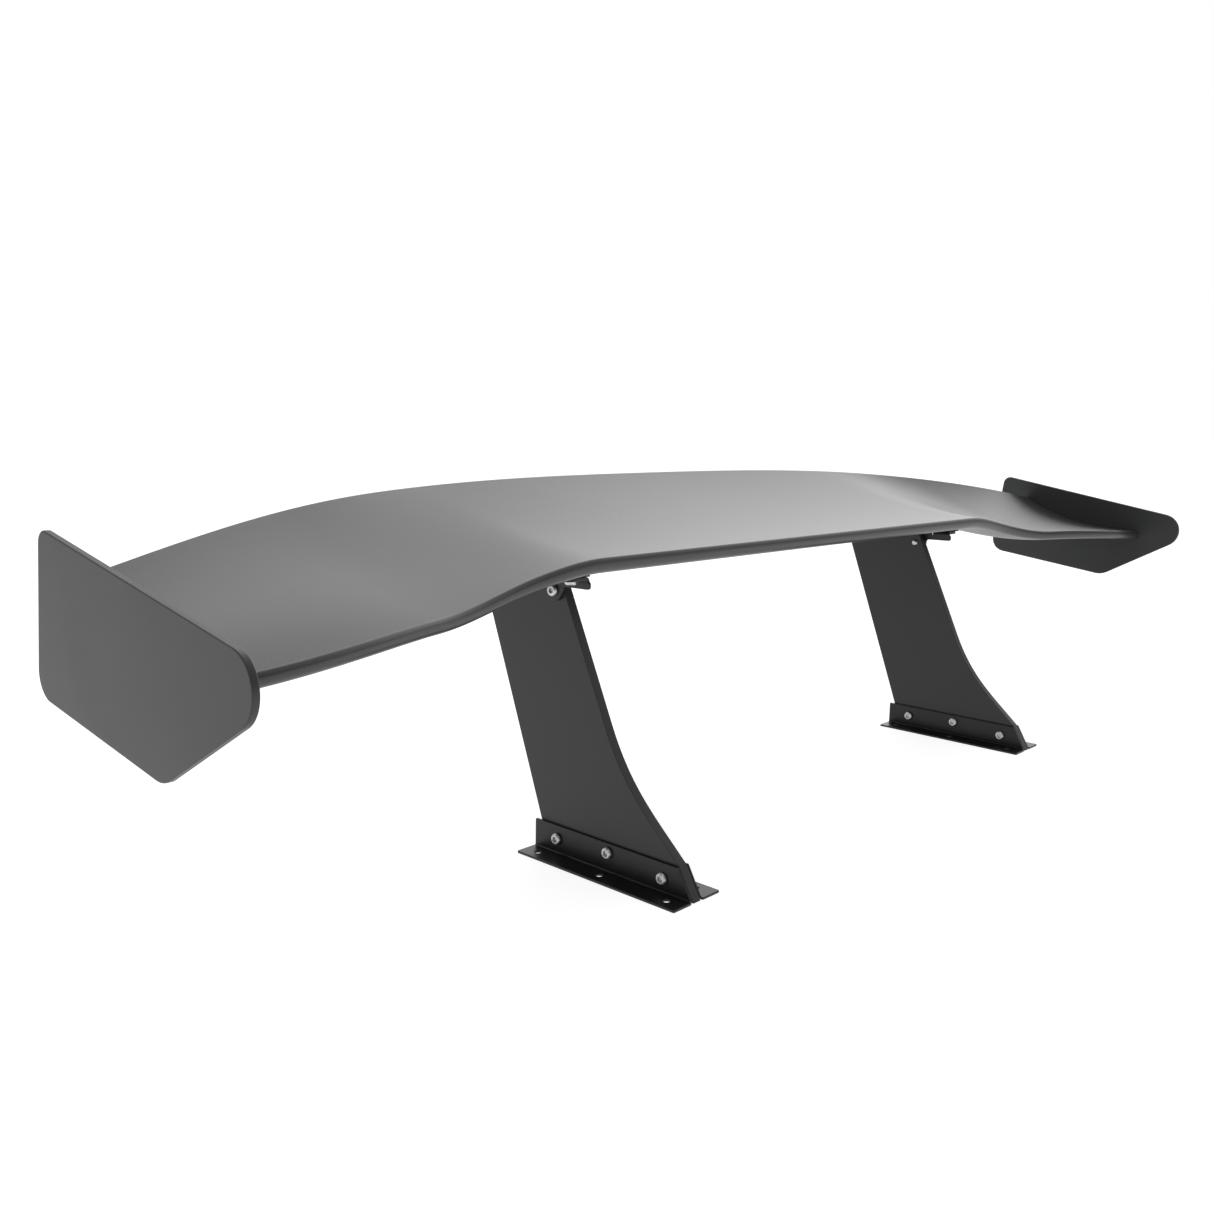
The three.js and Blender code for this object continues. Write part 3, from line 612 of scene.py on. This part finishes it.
NUT_APOTHEM = 4.95
NUT_FACE_RADIUS = 4.85         # of the round face inside the chamfer
NUT_CHAMFER_SLOPE = 1.7
NUT_CHAMFER_DEPTHS = (0.12, 0.24, 0.36, 0.5)
NUT_AROUND = 72
BORE_RADIUS = 3.1
BORE_CHAMFER = 0.25
WASHER_RADIUS = 6.0
WASHER_EDGE = 0.15


def nut(height):
    """A hexagon nut along c, chamfered at both faces, with a plain bore."""
    corner = hexagon(NUT_APOTHEM)

    def chamfered(widest):
        return lambda angle: min(corner(angle), widest)

    rows = [(BORE_RADIUS + BORE_CHAMFER, 0), (NUT_FACE_RADIUS, 0)]
    chamfer = [(chamfered(NUT_FACE_RADIUS + depth * NUT_CHAMFER_SLOPE), depth)
               for depth in NUT_CHAMFER_DEPTHS]
    rows += chamfer + [(radius, height - depth) for radius, depth in reversed(chamfer)]
    rows += [(NUT_FACE_RADIUS, height), (BORE_RADIUS + BORE_CHAMFER, height),
             (BORE_RADIUS, height - BORE_CHAMFER), (BORE_RADIUS, BORE_CHAMFER)]
    return turned(rows, ring=True, around=NUT_AROUND)


def washer(thickness):
    """A flat washer along c with softly stamped edges."""
    inner, outer = BORE_RADIUS + WASHER_EDGE, WASHER_RADIUS - WASHER_EDGE
    return turned([(inner, 0), (outer, 0), (WASHER_RADIUS, WASHER_EDGE),
                   (WASHER_RADIUS, thickness - WASHER_EDGE), (outer, thickness),
                   (inner, thickness), (BORE_RADIUS, thickness - WASHER_EDGE),
                   (BORE_RADIUS, WASHER_EDGE)], ring=True)


TO_LEFT = Vector((-1, 0, 0))
TO_RIGHT = Vector((1, 0, 0))

for label in ("left", "right"):
    for i in (1, 2, 3):
        node = f"foot_bolt_{label}_{i}"
        low, high = (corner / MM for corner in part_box(node))
        middle = centre_of(node)
        under_head = Vector((low.x + HEAD_HEIGHT, middle.y, middle.z))
        add_piece(f"foot_screw_{label}_{i}", button_screw(high.x - under_head.x),
                  standing_on(under_head, TO_LEFT), "stands", stainless,
                  [node])
        for kind, make in (("washer", washer), ("nut", nut)):
            node = f"foot_{kind}_{label}_{i}"
            low, high = (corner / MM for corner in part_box(node))
            seat = Vector((low.x, middle.y, middle.z))
            add_piece(f"foot_{kind}_{label}_{i}_turned", make(high.x - low.x),
                      standing_on(seat, TO_RIGHT), "stands", stainless,
                      [node])


# ======================================================================= blade skins
# The blade is two satin black ABS mouldings, 3 mm thick, joined along a seam just below
# the crease of the nose and along the trailing edge. The middle is raised over the
# stands. Outboard it steps down, and its edges sweep forward to the end plates.

HALF_SPAN = cad_high.x / MM
STAND_X = centre_of("stand_right").x
CENTRE_LEAD = Vector((4.5, 272.5))       # (y, z) of the crease above the nose
CENTRE_TRAIL = Vector((250, 323.5))
SKIN = 3
TRAIL_THICKNESS = 3
SKIN_GAP = 0.3
SEAM_GAP = 0.12
CREASE_ROUND = 0.9
TRAIL_ROUND = 0.5
ROUND_MIDDLE = 0.3             # how far from the corner a rounding's middle lies, in radii
SPAN_STEPS = 220
CHORD_STEPS = 64
NOSE_STEPS = 22
STEP_START = STAND_X + 12.6
STEP_LENGTH = 189.7
SWEEP_START = STAND_X + 82.1
SWEEP_BEFORE_TIP = 34
STEP_DROP = 25.5
LEAD_SWEEP = 66.5              # how far the leading edge sweeps forward
DROOP_LENGTH = 188
DROOP_POWER = 1.65
TIP_DROOP = 8.4
TRAIL_BOW = 110                # forward bow of the trailing edge from middle to tip
TRAIL_SWEEP_LENGTH = 326
TRAIL_SWEEP = 40
TRAIL_DROOP = 47
TRAIL_DROOP_POWER = 3.15
NOSE_DEPTH_CENTRE = 12.2
NOSE_DEPTH_TIP = 10.8
BELLY_CENTRE = 0.26            # extra thickness between nose and trail, as a share of the chord
BELLY_TIP = 0.13
CAMBER_CENTRE = 1.7            # power of the curve over the top
CAMBER_TIP = 2.45
NOSE_FOOT = 0.5                # where the nose meets the underside, in nose depths
NOSE_TOP_PULL = Vector((-0.42, -0.16))
NOSE_BULGE = 0.36
NOSE_POINTS = 120
CREASE_POINTS = 4
CREASE_END = 0.06              # share of the nose curve at which the crease's rounding ends,
CREASE_SEAM_SHARE = 0.4        # or this share of the way to the seam if that is nearer
NOSE_TANGENT = 0.01            # share of the nose curve over which its direction is taken
HOLE_REACH = 14                # of a cutter each way from the middle of a blade screw


def mix(a, b, t):
    return a + (b - a) * t


def ease(start, end, value):
    """A smooth step from 0 at start to 1 at end."""
    t = min(max((value - start) / (end - start), 0), 1)
    return t * t * (3 - 2 * t)


class Section:
    """The blade's section at x. c is the share of the chord behind the crease."""

    def __init__(self, x):
        out = abs(x)
        share = out / HALF_SPAN
        step = ease(STEP_START, STEP_START + STEP_LENGTH, out)
        outboard = ease(STEP_START, HALF_SPAN, out)
        droop = max(0, (out - HALF_SPAN + DROOP_LENGTH) / DROOP_LENGTH) ** DROOP_POWER
        sweep = ease(SWEEP_START, HALF_SPAN - SWEEP_BEFORE_TIP, out)
        trail_sweep = ease(HALF_SPAN - TRAIL_SWEEP_LENGTH, HALF_SPAN, out)
        self.lead = CENTRE_LEAD - Vector((LEAD_SWEEP * sweep, STEP_DROP * step + TIP_DROOP * droop))
        self.trail = CENTRE_TRAIL - Vector((TRAIL_BOW * share ** 2 + TRAIL_SWEEP * trail_sweep,
                                            TRAIL_DROOP * share ** TRAIL_DROOP_POWER))
        self.chord = self.trail.x - self.lead.x
        self.nose_depth = mix(NOSE_DEPTH_CENTRE, NOSE_DEPTH_TIP, step)
        self.belly = mix(BELLY_CENTRE, BELLY_TIP, outboard) * self.chord
        self.camber = mix(CAMBER_CENTRE, CAMBER_TIP, outboard)
        self.foot = NOSE_FOOT * self.nose_depth / self.chord
        foot = Vector((self.y(self.foot), self.bottom(self.foot)))
        self.nose = [self.lead.copy()] + bezier(
            self.lead, self.lead + NOSE_TOP_PULL * self.nose_depth,
            Vector((self.lead.x - NOSE_BULGE * self.nose_depth, foot.y)), foot, NOSE_POINTS)

    def y(self, c):
        return self.lead.x + c * self.chord

    def top(self, c):
        return self.lead.y + (self.trail.y - self.lead.y) * c ** self.camber

    def thickness(self, c):
        return TRAIL_THICKNESS + (1 - c) * (self.nose_depth - TRAIL_THICKNESS + self.belly * c)

    def bottom(self, c):
        return self.top(c) - self.thickness(c)

    def wall(self, c):
        return min(SKIN, (self.thickness(c) - SKIN_GAP) / 2)

    def nose_at(self, share):
        place = share * (len(self.nose) - 1)
        i = min(int(place), len(self.nose) - 2)
        return self.nose[i].lerp(self.nose[i + 1], place - i)

    def nose_share(self, depth):
        """Share of the nose curve that has come down by a depth below the crease."""
        last = len(self.nose) - 1
        return next(i for i, p in enumerate(self.nose)
                    if self.lead.y - p.y >= depth or i == last) / last


def underside(x, y):
    """z of the blade's underside."""
    section = Section(x)
    return section.bottom((y - section.lead.x) / section.chord)


def upper_ring(x):
    """The upper skin's section: over the top, round the crease to the seam, and back inside."""
    s = Section(x)
    edge = TRAIL_ROUND / s.chord
    seam = s.nose_share(SKIN)
    ring = [Vector((s.trail.x, s.top(1) - TRAIL_ROUND)),
            Vector((s.y(1 - edge * ROUND_MIDDLE), s.top(1) - TRAIL_ROUND * ROUND_MIDDLE))]
    first = CREASE_ROUND / s.chord
    behind = Vector((s.y(first), s.top(first)))
    ring += [Vector((s.y(c), s.top(c)))
             for c in (mix(1 - edge, first, i / CHORD_STEPS) for i in range(CHORD_STEPS))]
    crease_end = min(seam * CREASE_SEAM_SHARE, CREASE_END)
    ring.append(behind)
    ring += bezier(behind, s.lead, s.lead, s.nose_at(crease_end), CREASE_POINTS)
    ring += [s.nose_at(mix(crease_end, seam, k / CREASE_POINTS))
             for k in range(1, CREASE_POINTS + 1)]
    ring.append(Vector((s.lead.x + SKIN / 2, s.lead.y - s.wall(0))))
    inside = [mix(s.foot, 1, i / CHORD_STEPS) for i in range(CHORD_STEPS + 1)]
    return ring + [Vector((s.y(c), s.top(c) - s.wall(c))) for c in inside]


def lower_ring(x):
    """The lower skin's section: round the nose from the seam, under to the rear, and back."""
    s = Section(x)
    seam = s.nose_share(SKIN + SEAM_GAP)
    shares = [mix(seam, 1, k / NOSE_STEPS) for k in range(NOSE_STEPS)]
    outer = [s.nose_at(share) for share in shares]
    inner = []
    for share, point in zip(shares, outer):
        along = (s.nose_at(min(share + NOSE_TANGENT, 1))
                 - s.nose_at(share - NOSE_TANGENT)).normalized()
        inner.append(point + Vector((-along.y, along.x)) * SKIN)
    stops = [mix(s.foot, 1, i / CHORD_STEPS) for i in range(CHORD_STEPS + 1)]
    outer += [Vector((s.y(c), s.bottom(c))) for c in stops]
    inner += [Vector((s.y(c), s.bottom(c) + s.wall(c))) for c in stops]
    return outer + inner[::-1]


def loft(ring_at, places):
    """A closed solid through rings of (y, z), one for each x in places, as a bmesh in mm."""
    shape = bmesh.new()
    loops = [[shape.verts.new((x, p.x, p.y)) for p in ring_at(x)] for x in places]
    for near, far in zip(loops, loops[1:]):
        for k in range(len(near)):
            after = (k + 1) % len(near)
            shape.faces.new((near[k], near[after], far[after], far[k]))
    shape.faces.new(reversed(loops[0]))
    shape.faces.new(loops[-1])
    return shape


def screw_hole(node):
    """A cutter for the hole of a blade screw, square to the blade's underside."""
    middle = centre_of(node) - Vector((0, rear_shift, 0))
    rise = underside(middle.x, middle.y + 1) - underside(middle.x, middle.y - 1)
    place = standing_on(middle, Vector((0, -rise, 2)))
    cutter = turned([(HOLE_RADIUS, -HOLE_REACH), (HOLE_RADIUS, HOLE_REACH)])
    for vertex in cutter.verts:
        vertex.co = place(*vertex.co)
    return cutter


def from_feet(x, y, z):
    """Maps a point counted from the middle of the feet to the frame."""
    return (x, y + rear_shift, z)


# Black ABS from a spark-eroded mould: a dielectric, dark all through, with a satin grain
# that spreads reflections. It stays dark face-on and turns pale grey at a low angle.
# The grain is about 0.15 mm, and is drawn at 1.6 mm so that it shows. A long shallow
# ripple is what cooling leaves in a wide moulding.
ABS_BLACK = linear("#2a2b2c")
ABS_GREY = linear("#323334")
GRAIN_SIZE = 1.6
RIPPLE_SIZE = 90

moulded_abs, tree = blank_material("satin_moulded_abs")
here = add_node(tree, "ShaderNodeTexCoord").outputs["Object"]
grain = add_node(tree, "ShaderNodeTexNoise",
                 {"Vector": here, "Scale": 1 / (GRAIN_SIZE * MM), "Detail": 3.0})
ripple = add_node(tree, "ShaderNodeTexNoise",
                  {"Vector": here, "Scale": 1 / (RIPPLE_SIZE * MM), "Detail": 2.0})
tone = add_node(tree, "ShaderNodeMix",
                {"Factor": ripple.outputs["Fac"], "A": ABS_BLACK, "B": ABS_GREY},
                data_type="RGBA")
gloss = add_node(tree, "ShaderNodeMapRange",
                 {"Value": grain.outputs["Fac"], "To Min": 0.35, "To Max": 0.43})
waves = add_node(tree, "ShaderNodeBump",
                 {"Height": ripple.outputs["Fac"], "Strength": 0.3, "Distance": 0.6 * MM})
relief = add_node(tree, "ShaderNodeBump",
                  {"Height": grain.outputs["Fac"], "Strength": 0.12, "Distance": 0.06 * MM,
                   "Normal": waves.outputs[0]})
shader = add_node(tree, "ShaderNodeBsdfPrincipled",
                  {"Base Color": tone.outputs["Result"], "Roughness": gloss.outputs[0],
                   "Normal": relief.outputs[0], "IOR": 1.53})
add_node(tree, "ShaderNodeOutputMaterial", {"Surface": shader.outputs[0]})

blade_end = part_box("blade_upper_skin")[1].x / MM
span_places = [blade_end * (2 * i / SPAN_STEPS - 1) for i in range(SPAN_STEPS + 1)]
add_piece("blade_upper_moulding", loft(upper_ring, span_places), from_feet,
          "wing", moulded_abs, ["blade_upper_skin"])
screws = [f"blade_screw_{label}_{end}" for label in ("left", "right")
          for end in ("front", "rear")]
add_piece("blade_lower_moulding",
          drill(loft(lower_ring, span_places), [screw_hole(screw) for screw in screws]),
          from_feet, "wing", moulded_abs, ["blade_lower_skin"])


# ======================================================================= tip caps
# An ABS cap welded into each end of the blade. It closes the hollow and gives the end
# plate a flat face. A black rubbery adhesive pad bonds the two.

CAP_BEVEL = 0.5
BOND_BEVEL = 0.2


def whole_ring(x):
    """The blade's whole section, as points from the trailing edge over the top."""
    s = Section(x)
    stops = [mix(s.foot, 1, i / CHORD_STEPS) for i in range(CHORD_STEPS + 1)]
    ring = [Vector((s.y(c), s.top(c))) for c in stops[::-1]]
    ring += [s.nose_at(k / NOSE_STEPS) for k in range(NOSE_STEPS)]
    return ring + [Vector((s.y(c), s.bottom(c))) for c in stops]


# Moulded EPDM rubber: matt, with a fine dusty bloom. It hardly reflects at all.
RUBBER_BLACK = linear("#151515")
RUBBER_BLOOM = linear("#212121")
BLOOM_SIZE = 1.5

rubber, tree = blank_material("moulded_epdm_rubber")
here = add_node(tree, "ShaderNodeTexCoord").outputs["Object"]
bloom = add_node(tree, "ShaderNodeTexNoise",
                 {"Vector": here, "Scale": 1 / (BLOOM_SIZE * MM), "Detail": 4.0})
tone = add_node(tree, "ShaderNodeMix",
                {"Factor": bloom.outputs["Fac"], "A": RUBBER_BLACK, "B": RUBBER_BLOOM},
                data_type="RGBA")
relief = add_node(tree, "ShaderNodeBump",
                  {"Height": bloom.outputs["Fac"], "Strength": 0.3, "Distance": 0.08 * MM})
shader = add_node(tree, "ShaderNodeBsdfPrincipled",
                  {"Base Color": tone.outputs["Result"], "Roughness": 0.82,
                   "Normal": relief.outputs[0], "IOR": 1.52})
add_node(tree, "ShaderNodeOutputMaterial", {"Surface": shader.outputs[0]})

for label in ("left", "right"):
    for node, piece_name, bevel, slot, material in (
        (f"tip_cap_{label}", f"tip_cap_moulding_{label}", CAP_BEVEL, "moulded_abs", moulded_abs),
        (f"bond_pad_{label}", f"bond_pad_strip_{label}", BOND_BEVEL, "rubber_pad", rubber),
    ):
        low, high = (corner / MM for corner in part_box(node))
        middle = (low.x + high.x) / 2
        section_x = min(abs(low.x), abs(high.x))
        add_piece(piece_name, plate(whole_ring(section_x), [], high.x - low.x, bevel),
                  lambda a, b, c, middle=middle: (middle + c, a + rear_shift, b),
                  "wing", material, [node])


# ======================================================================= end plates
# Two flat plates, cut from 5 mm ABS sheet with rounded corners, their edges scraped
# smooth. They are bonded to the tip caps, so that no screw shows outside.

END_PLATE_BEVEL = 0.9
END_PLATE_CORNERS = ((140.4, 308.5, 10), (-161.3, 254.0, 23), (-17.0, 171.6, 26),
                     (155.0, 195.1, 19))

# ABS sheet, calendered: a finer and more even grain than the moulding's, a little glossier.
SHEET_BLACK = linear("#1e1f20")
SHEET_GREY = linear("#262728")
SHEET_GRAIN = 1.2
SHEET_CLOUD = 60

sheet_abs, tree = blank_material("calendered_abs_sheet")
here = add_node(tree, "ShaderNodeTexCoord").outputs["Object"]
grain = add_node(tree, "ShaderNodeTexNoise",
                 {"Vector": here, "Scale": 1 / (SHEET_GRAIN * MM), "Detail": 2.0})
cloud = add_node(tree, "ShaderNodeTexNoise",
                 {"Vector": here, "Scale": 1 / (SHEET_CLOUD * MM), "Detail": 3.0})
tone = add_node(tree, "ShaderNodeMix",
                {"Factor": cloud.outputs["Fac"], "A": SHEET_BLACK, "B": SHEET_GREY},
                data_type="RGBA")
gloss = add_node(tree, "ShaderNodeMapRange",
                 {"Value": cloud.outputs["Fac"], "To Min": 0.40, "To Max": 0.48})
relief = add_node(tree, "ShaderNodeBump",
                  {"Height": grain.outputs["Fac"], "Strength": 0.10, "Distance": 0.05 * MM})
shader = add_node(tree, "ShaderNodeBsdfPrincipled",
                  {"Base Color": tone.outputs["Result"], "Roughness": gloss.outputs[0],
                   "Normal": relief.outputs[0], "IOR": 1.53})
add_node(tree, "ShaderNodeOutputMaterial", {"Surface": shader.outputs[0]})

for label in ("left", "right"):
    low, high = (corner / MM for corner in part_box(f"end_plate_{label}"))
    add_piece(f"end_plate_sheet_{label}",
              plate(rounded_outline(END_PLATE_CORNERS, steps=20), [], high.x - low.x,
                    END_PLATE_BEVEL),
              lambda a, b, c, middle=(low.x + high.x) / 2: (middle + c, a + rear_shift, b),
              "wing", sheet_abs, [f"end_plate_{label}"])


# ======================================================================= brackets
# Folded from 3 mm aluminium and powder coated: a tongue beside each stand, with a lug
# for the pivot bolt, a lug with a curved slot for the adjuster bolt, and two tabs that
# turn outboard under the blade.

BRACKET_THICKNESS = 3
BRACKET_BEND = 0.8             # tight, to clear the washer at the flattest angle
BRACKET_BEVEL = 0.4
BRACKET_FRONT = 28
BRACKET_REAR = 162
TONGUE_DEPTH = 14.6            # of the tongue's lower edge below the blade
TONGUE_TOP = 5.1
TAB_SETBACK = 2
TAB_LENGTH = 22
TAB_WIDTH = 24
TAB_DROP = 3.6                 # from the blade's underside to a tab's top
TAB_RELIEF = 1.5               # width of the notch beside a tab
SCREW_INSET = 12               # from the stand's face to the blade screws
TONGUE_CORNER = 2.2
TONGUE_TOP_CORNER = 1.5
TONGUE_STEPS = 6
TAB_CORNER = 3
TAB_FRONT_CORNER = 9           # of the foremost corner, which is cut away rounder
FOLD_MARGIN = 0.5
LUG_RADIUS = 9.5
LUG_EASE = 0.1                 # keeps the two arcs of a lug's end from meeting
NECK_ROUND = 4
SLOT_HALF = 3.8
ADJUST = math.radians(5)

neutral = BRACKET_BEND + BRACKET_THICKNESS / 2
tab_root = -TAB_DROP - neutral - BRACKET_THICKNESS / 2
tab_arc = neutral * math.pi / 2
tab_end = TAB_WIDTH - neutral - BRACKET_THICKNESS / 2 + tab_arc
half_tab = TAB_LENGTH / 2
leg_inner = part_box("bracket_right")[0].x / MM
tab_x = leg_inner + TAB_WIDTH / 2
stand_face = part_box("stand_right")[1].x / MM
screw_v = stand_face + SCREW_INSET - leg_inner - BRACKET_THICKNESS / 2 - neutral + tab_arc
pivot = centre_of("pivot_bolt_right") - Vector((0, rear_shift, 0))
adjuster = centre_of("adjuster_bolt_right") - Vector((0, rear_shift, 0))
throw = Vector((adjuster.y - pivot.y, adjuster.z - pivot.z))
slot_lug = LUG_RADIUS + throw.length * math.sin(ADJUST)


class Tab:
    """A tab's own directions: u along the blade's underside, v from the fold outwards."""

    def __init__(self, start):
        front, rear = (underside(tab_x, y) for y in (start, start + TAB_LENGTH))
        self.middle = Vector((start + half_tab, (front + rear) / 2))
        self.along = Vector((TAB_LENGTH, rear - front)).normalized()
        self.up = Vector((-self.along.y, self.along.x))

    def to_plane(self, u, v):
        return self.middle + self.along * u + self.up * (tab_root + v)

    def from_plane(self, a, b):
        offset = Vector((a, b)) - self.middle
        return offset.dot(self.along), offset.dot(self.up) - tab_root


front_tab = Tab(BRACKET_FRONT + TAB_SETBACK)
rear_tab = Tab(BRACKET_REAR - TAB_SETBACK - TAB_LENGTH)


def slot_outline(half, steps=12):
    """A curved slot about the pivot, as far each way as the blade's angle can be set."""
    middle = math.atan2(throw.y, throw.x)
    centre = Vector((pivot.y, pivot.z))

    def spot(radius, angle):
        return Vector((math.cos(angle), math.sin(angle))) * radius

    points = []
    for radius, turns in ((throw.length + half, 1), (throw.length - half, -1)):
        for k in range(steps + 1):
            points.append(centre + spot(radius, middle + turns * ADJUST * (2 * k / steps - 1)))
        end = centre + spot(throw.length, middle + turns * ADJUST)
        facing = middle + turns * ADJUST + (0 if turns > 0 else math.pi)
        points += [end + spot(half, facing + math.pi * k / steps) for k in range(1, steps)]
    return points


def bracket_sheet():
    """The bracket cut flat and then folded, as a bmesh in mm."""
    def low(y):
        return underside(tab_x, y) - TONGUE_DEPTH

    def high(y):
        return underside(tab_x, y) - TONGUE_TOP

    def at_tab(tab, u, v, radius):
        return (*tab.to_plane(u, v), radius)

    corners = [(BRACKET_FRONT, low(BRACKET_FRONT), TONGUE_CORNER)]
    for at, radius in ((pivot, LUG_RADIUS), (adjuster, slot_lug)):
        for side in (-1, 1):
            edge = at.y + side * radius
            inner = (edge, low(edge), NECK_ROUND)
            tip = (edge, at.z - radius, radius - LUG_EASE)
            corners += [inner, tip] if side < 0 else [tip, inner]
    rear_edge = adjuster.y + slot_lug
    corners[-1] = (rear_edge, rear_tab.to_plane(half_tab, -TAB_SETBACK).y, TONGUE_TOP_CORNER)
    corners += [at_tab(rear_tab, half_tab, 0, 0), at_tab(rear_tab, half_tab, tab_end, TAB_CORNER),
                at_tab(rear_tab, -half_tab, tab_end, TAB_CORNER), at_tab(rear_tab, -half_tab, -1, 0),
                at_tab(rear_tab, -half_tab - TAB_RELIEF, -1, 0)]
    gap_rear = rear_tab.to_plane(-half_tab - TAB_RELIEF, 0).x
    gap_front = front_tab.to_plane(half_tab + TAB_RELIEF, 0).x
    for k in range(TONGUE_STEPS + 1):
        y = mix(gap_rear, gap_front, k / TONGUE_STEPS)
        corners.append((y, high(y), 0))
    corners += [at_tab(front_tab, half_tab + TAB_RELIEF, -1, 0),
                at_tab(front_tab, half_tab, -1, 0), at_tab(front_tab, half_tab, tab_end, TAB_CORNER),
                at_tab(front_tab, -half_tab, tab_end, TAB_FRONT_CORNER), at_tab(front_tab, -half_tab, 0, 0),
                (BRACKET_FRONT, front_tab.to_plane(-half_tab, -TAB_SETBACK).y,
                 TONGUE_TOP_CORNER)]
    holes = [circle(pivot.y, pivot.z, HOLE_RADIUS), slot_outline(SLOT_HALF)]
    holes += [circle(*tab.to_plane(0, screw_v), HOLE_RADIUS) for tab in (front_tab, rear_tab)]
    sheet = plate(rounded_outline(corners), holes, BRACKET_THICKNESS, BRACKET_BEVEL)
    for tab in (front_tab, rear_tab):
        fold(sheet, BRACKET_BEND, BRACKET_THICKNESS, tab.from_plane, tab.to_plane,
             lambda u: abs(u) < half_tab + FOLD_MARGIN)
    return sheet


SIDES = (("left", -1), ("right", 1))
for label, side in SIDES:
    add_piece(f"bracket_sheet_{label}", bracket_sheet(),
              lambda a, b, c, side=side:
                  (side * (leg_inner + BRACKET_THICKNESS / 2 + c), a + rear_shift, b),
              "wing", powder_coat, [f"bracket_{label}"])


# ======================================================================= blade pads
# A 3 mm rubber pad on each tab follows the blade's curve and spreads the load. Inside
# the blade, a tapped aluminium plate backs each screw. It is sawn and left bare.

PAD_LENGTH = 23.5
PAD_BOTTOM = -3.3                # of a pad's lower face from the blade's underside
PAD_STEPS = 14
PAD_ACROSS = 6
PAD_EDGE = 0.3                   # of the rounding at a pad's two sides


def pad_ring(tab, inset):
    """Section of a pad: flat underneath, and curved as the blade is on top."""
    half = PAD_LENGTH / 2 - inset
    offsets = [mix(-half, half, k / PAD_STEPS) for k in range(PAD_STEPS + 1)]
    under = [tab.middle + tab.along * u + tab.up * (PAD_BOTTOM + inset) for u in offsets]
    over = [tab.middle + tab.along * u for u in offsets[::-1]]
    return lambda x: under + [Vector((p.x, underside(x, p.x) - SKIN_GAP - inset)) for p in over]


# Sawn aluminium: bare metal with straight saw marks about 0.6 mm apart.
ALLOY = linear("#b9bbbd")
ALLOY_SCORED = linear("#94979a")
SAW_SPACING = 0.6
WAVE_BANDS = 20                  # a wave texture's bands for each unit of its scale

sawn_alloy, tree = blank_material("sawn_aluminium")
here = add_node(tree, "ShaderNodeTexCoord").outputs["Object"]
scores = add_node(tree, "ShaderNodeTexWave",
                  {"Vector": here, "Scale": 1 / (SAW_SPACING * MM) / WAVE_BANDS, "Distortion": 1.5,
                   "Detail": 2.0})
tone = add_node(tree, "ShaderNodeMix",
                {"Factor": scores.outputs["Fac"], "A": ALLOY, "B": ALLOY_SCORED},
                data_type="RGBA")
relief = add_node(tree, "ShaderNodeBump",
                  {"Height": scores.outputs["Fac"], "Strength": 0.2, "Distance": 0.03 * MM})
shader = add_node(tree, "ShaderNodeBsdfPrincipled",
                  {"Base Color": tone.outputs["Result"], "Roughness": 0.42,
                   "Normal": relief.outputs[0], "Metallic": 1.0})
add_node(tree, "ShaderNodeOutputMaterial", {"Surface": shader.outputs[0]})

for label, side in SIDES:
    for end, tab in (("front", front_tab), ("rear", rear_tab)):
        node = f"blade_pad_{label}_{end}"
        low, high = (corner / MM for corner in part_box(node))
        inner_places = [mix(low.x, high.x, k / PAD_ACROSS) for k in range(1, PAD_ACROSS)]
        places = [low.x, low.x + PAD_EDGE, *inner_places, high.x - PAD_EDGE, high.x]
        insets = {x: PAD_EDGE if x in (low.x, high.x) else 0 for x in places}
        pad = loft(lambda x, tab=tab, insets=insets: pad_ring(tab, insets[x])(x),
                   places)
        add_piece(f"blade_pad_rubber_{label}_{end}",
                  drill(pad, [screw_hole(f"blade_screw_{label}_{end}")]),
                  from_feet, "wing", rubber, [node])
        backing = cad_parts[f"backing_plate_{label}_{end}"]
        backing.material_slots[0].material = sawn_alloy


# ======================================================================= upper screws
# The same stainless button-head screws: four up through the tabs into the blade, a pivot
# screw through each stand and bracket, and an adjuster screw on a washer over each slot.

SCREW_SEAT = -TAB_DROP - BRACKET_THICKNESS - 0.3
BLADE_SCREW_LENGTH = 16.5

for label, side in SIDES:
    for end, tab in (("front", front_tab), ("rear", rear_tab)):
        y, z = tab.middle + tab.up * SCREW_SEAT
        under_head = Vector((side * (stand_face + SCREW_INSET), y + rear_shift, z))
        add_piece(f"blade_screw_turned_{label}_{end}", button_screw(BLADE_SCREW_LENGTH),
                  standing_on(under_head, Vector((0, -tab.up.x, -tab.up.y))), "wing",
                  stainless, [f"blade_screw_{label}_{end}"])
    outward = TO_RIGHT if side > 0 else TO_LEFT
    for kind in ("pivot", "adjuster"):
        node = f"{kind}_bolt_{label}"
        low, high = (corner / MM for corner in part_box(node))
        middle = centre_of(node)
        head_top = high.x if side > 0 else low.x
        under_head = Vector((head_top - side * HEAD_HEIGHT, middle.y, middle.z))
        add_piece(f"{kind}_screw_{label}", button_screw(high.x - low.x - HEAD_HEIGHT),
                  standing_on(under_head, outward), "stands", stainless,
                  [node])
    node = f"adjuster_washer_{label}"
    low, high = (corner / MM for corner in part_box(node))
    seat = Vector((low.x if side > 0 else high.x, adjuster.y + rear_shift, adjuster.z))
    add_piece(f"adjuster_washer_turned_{label}", washer(high.x - low.x),
              standing_on(seat, outward), "stands", stainless, [node])
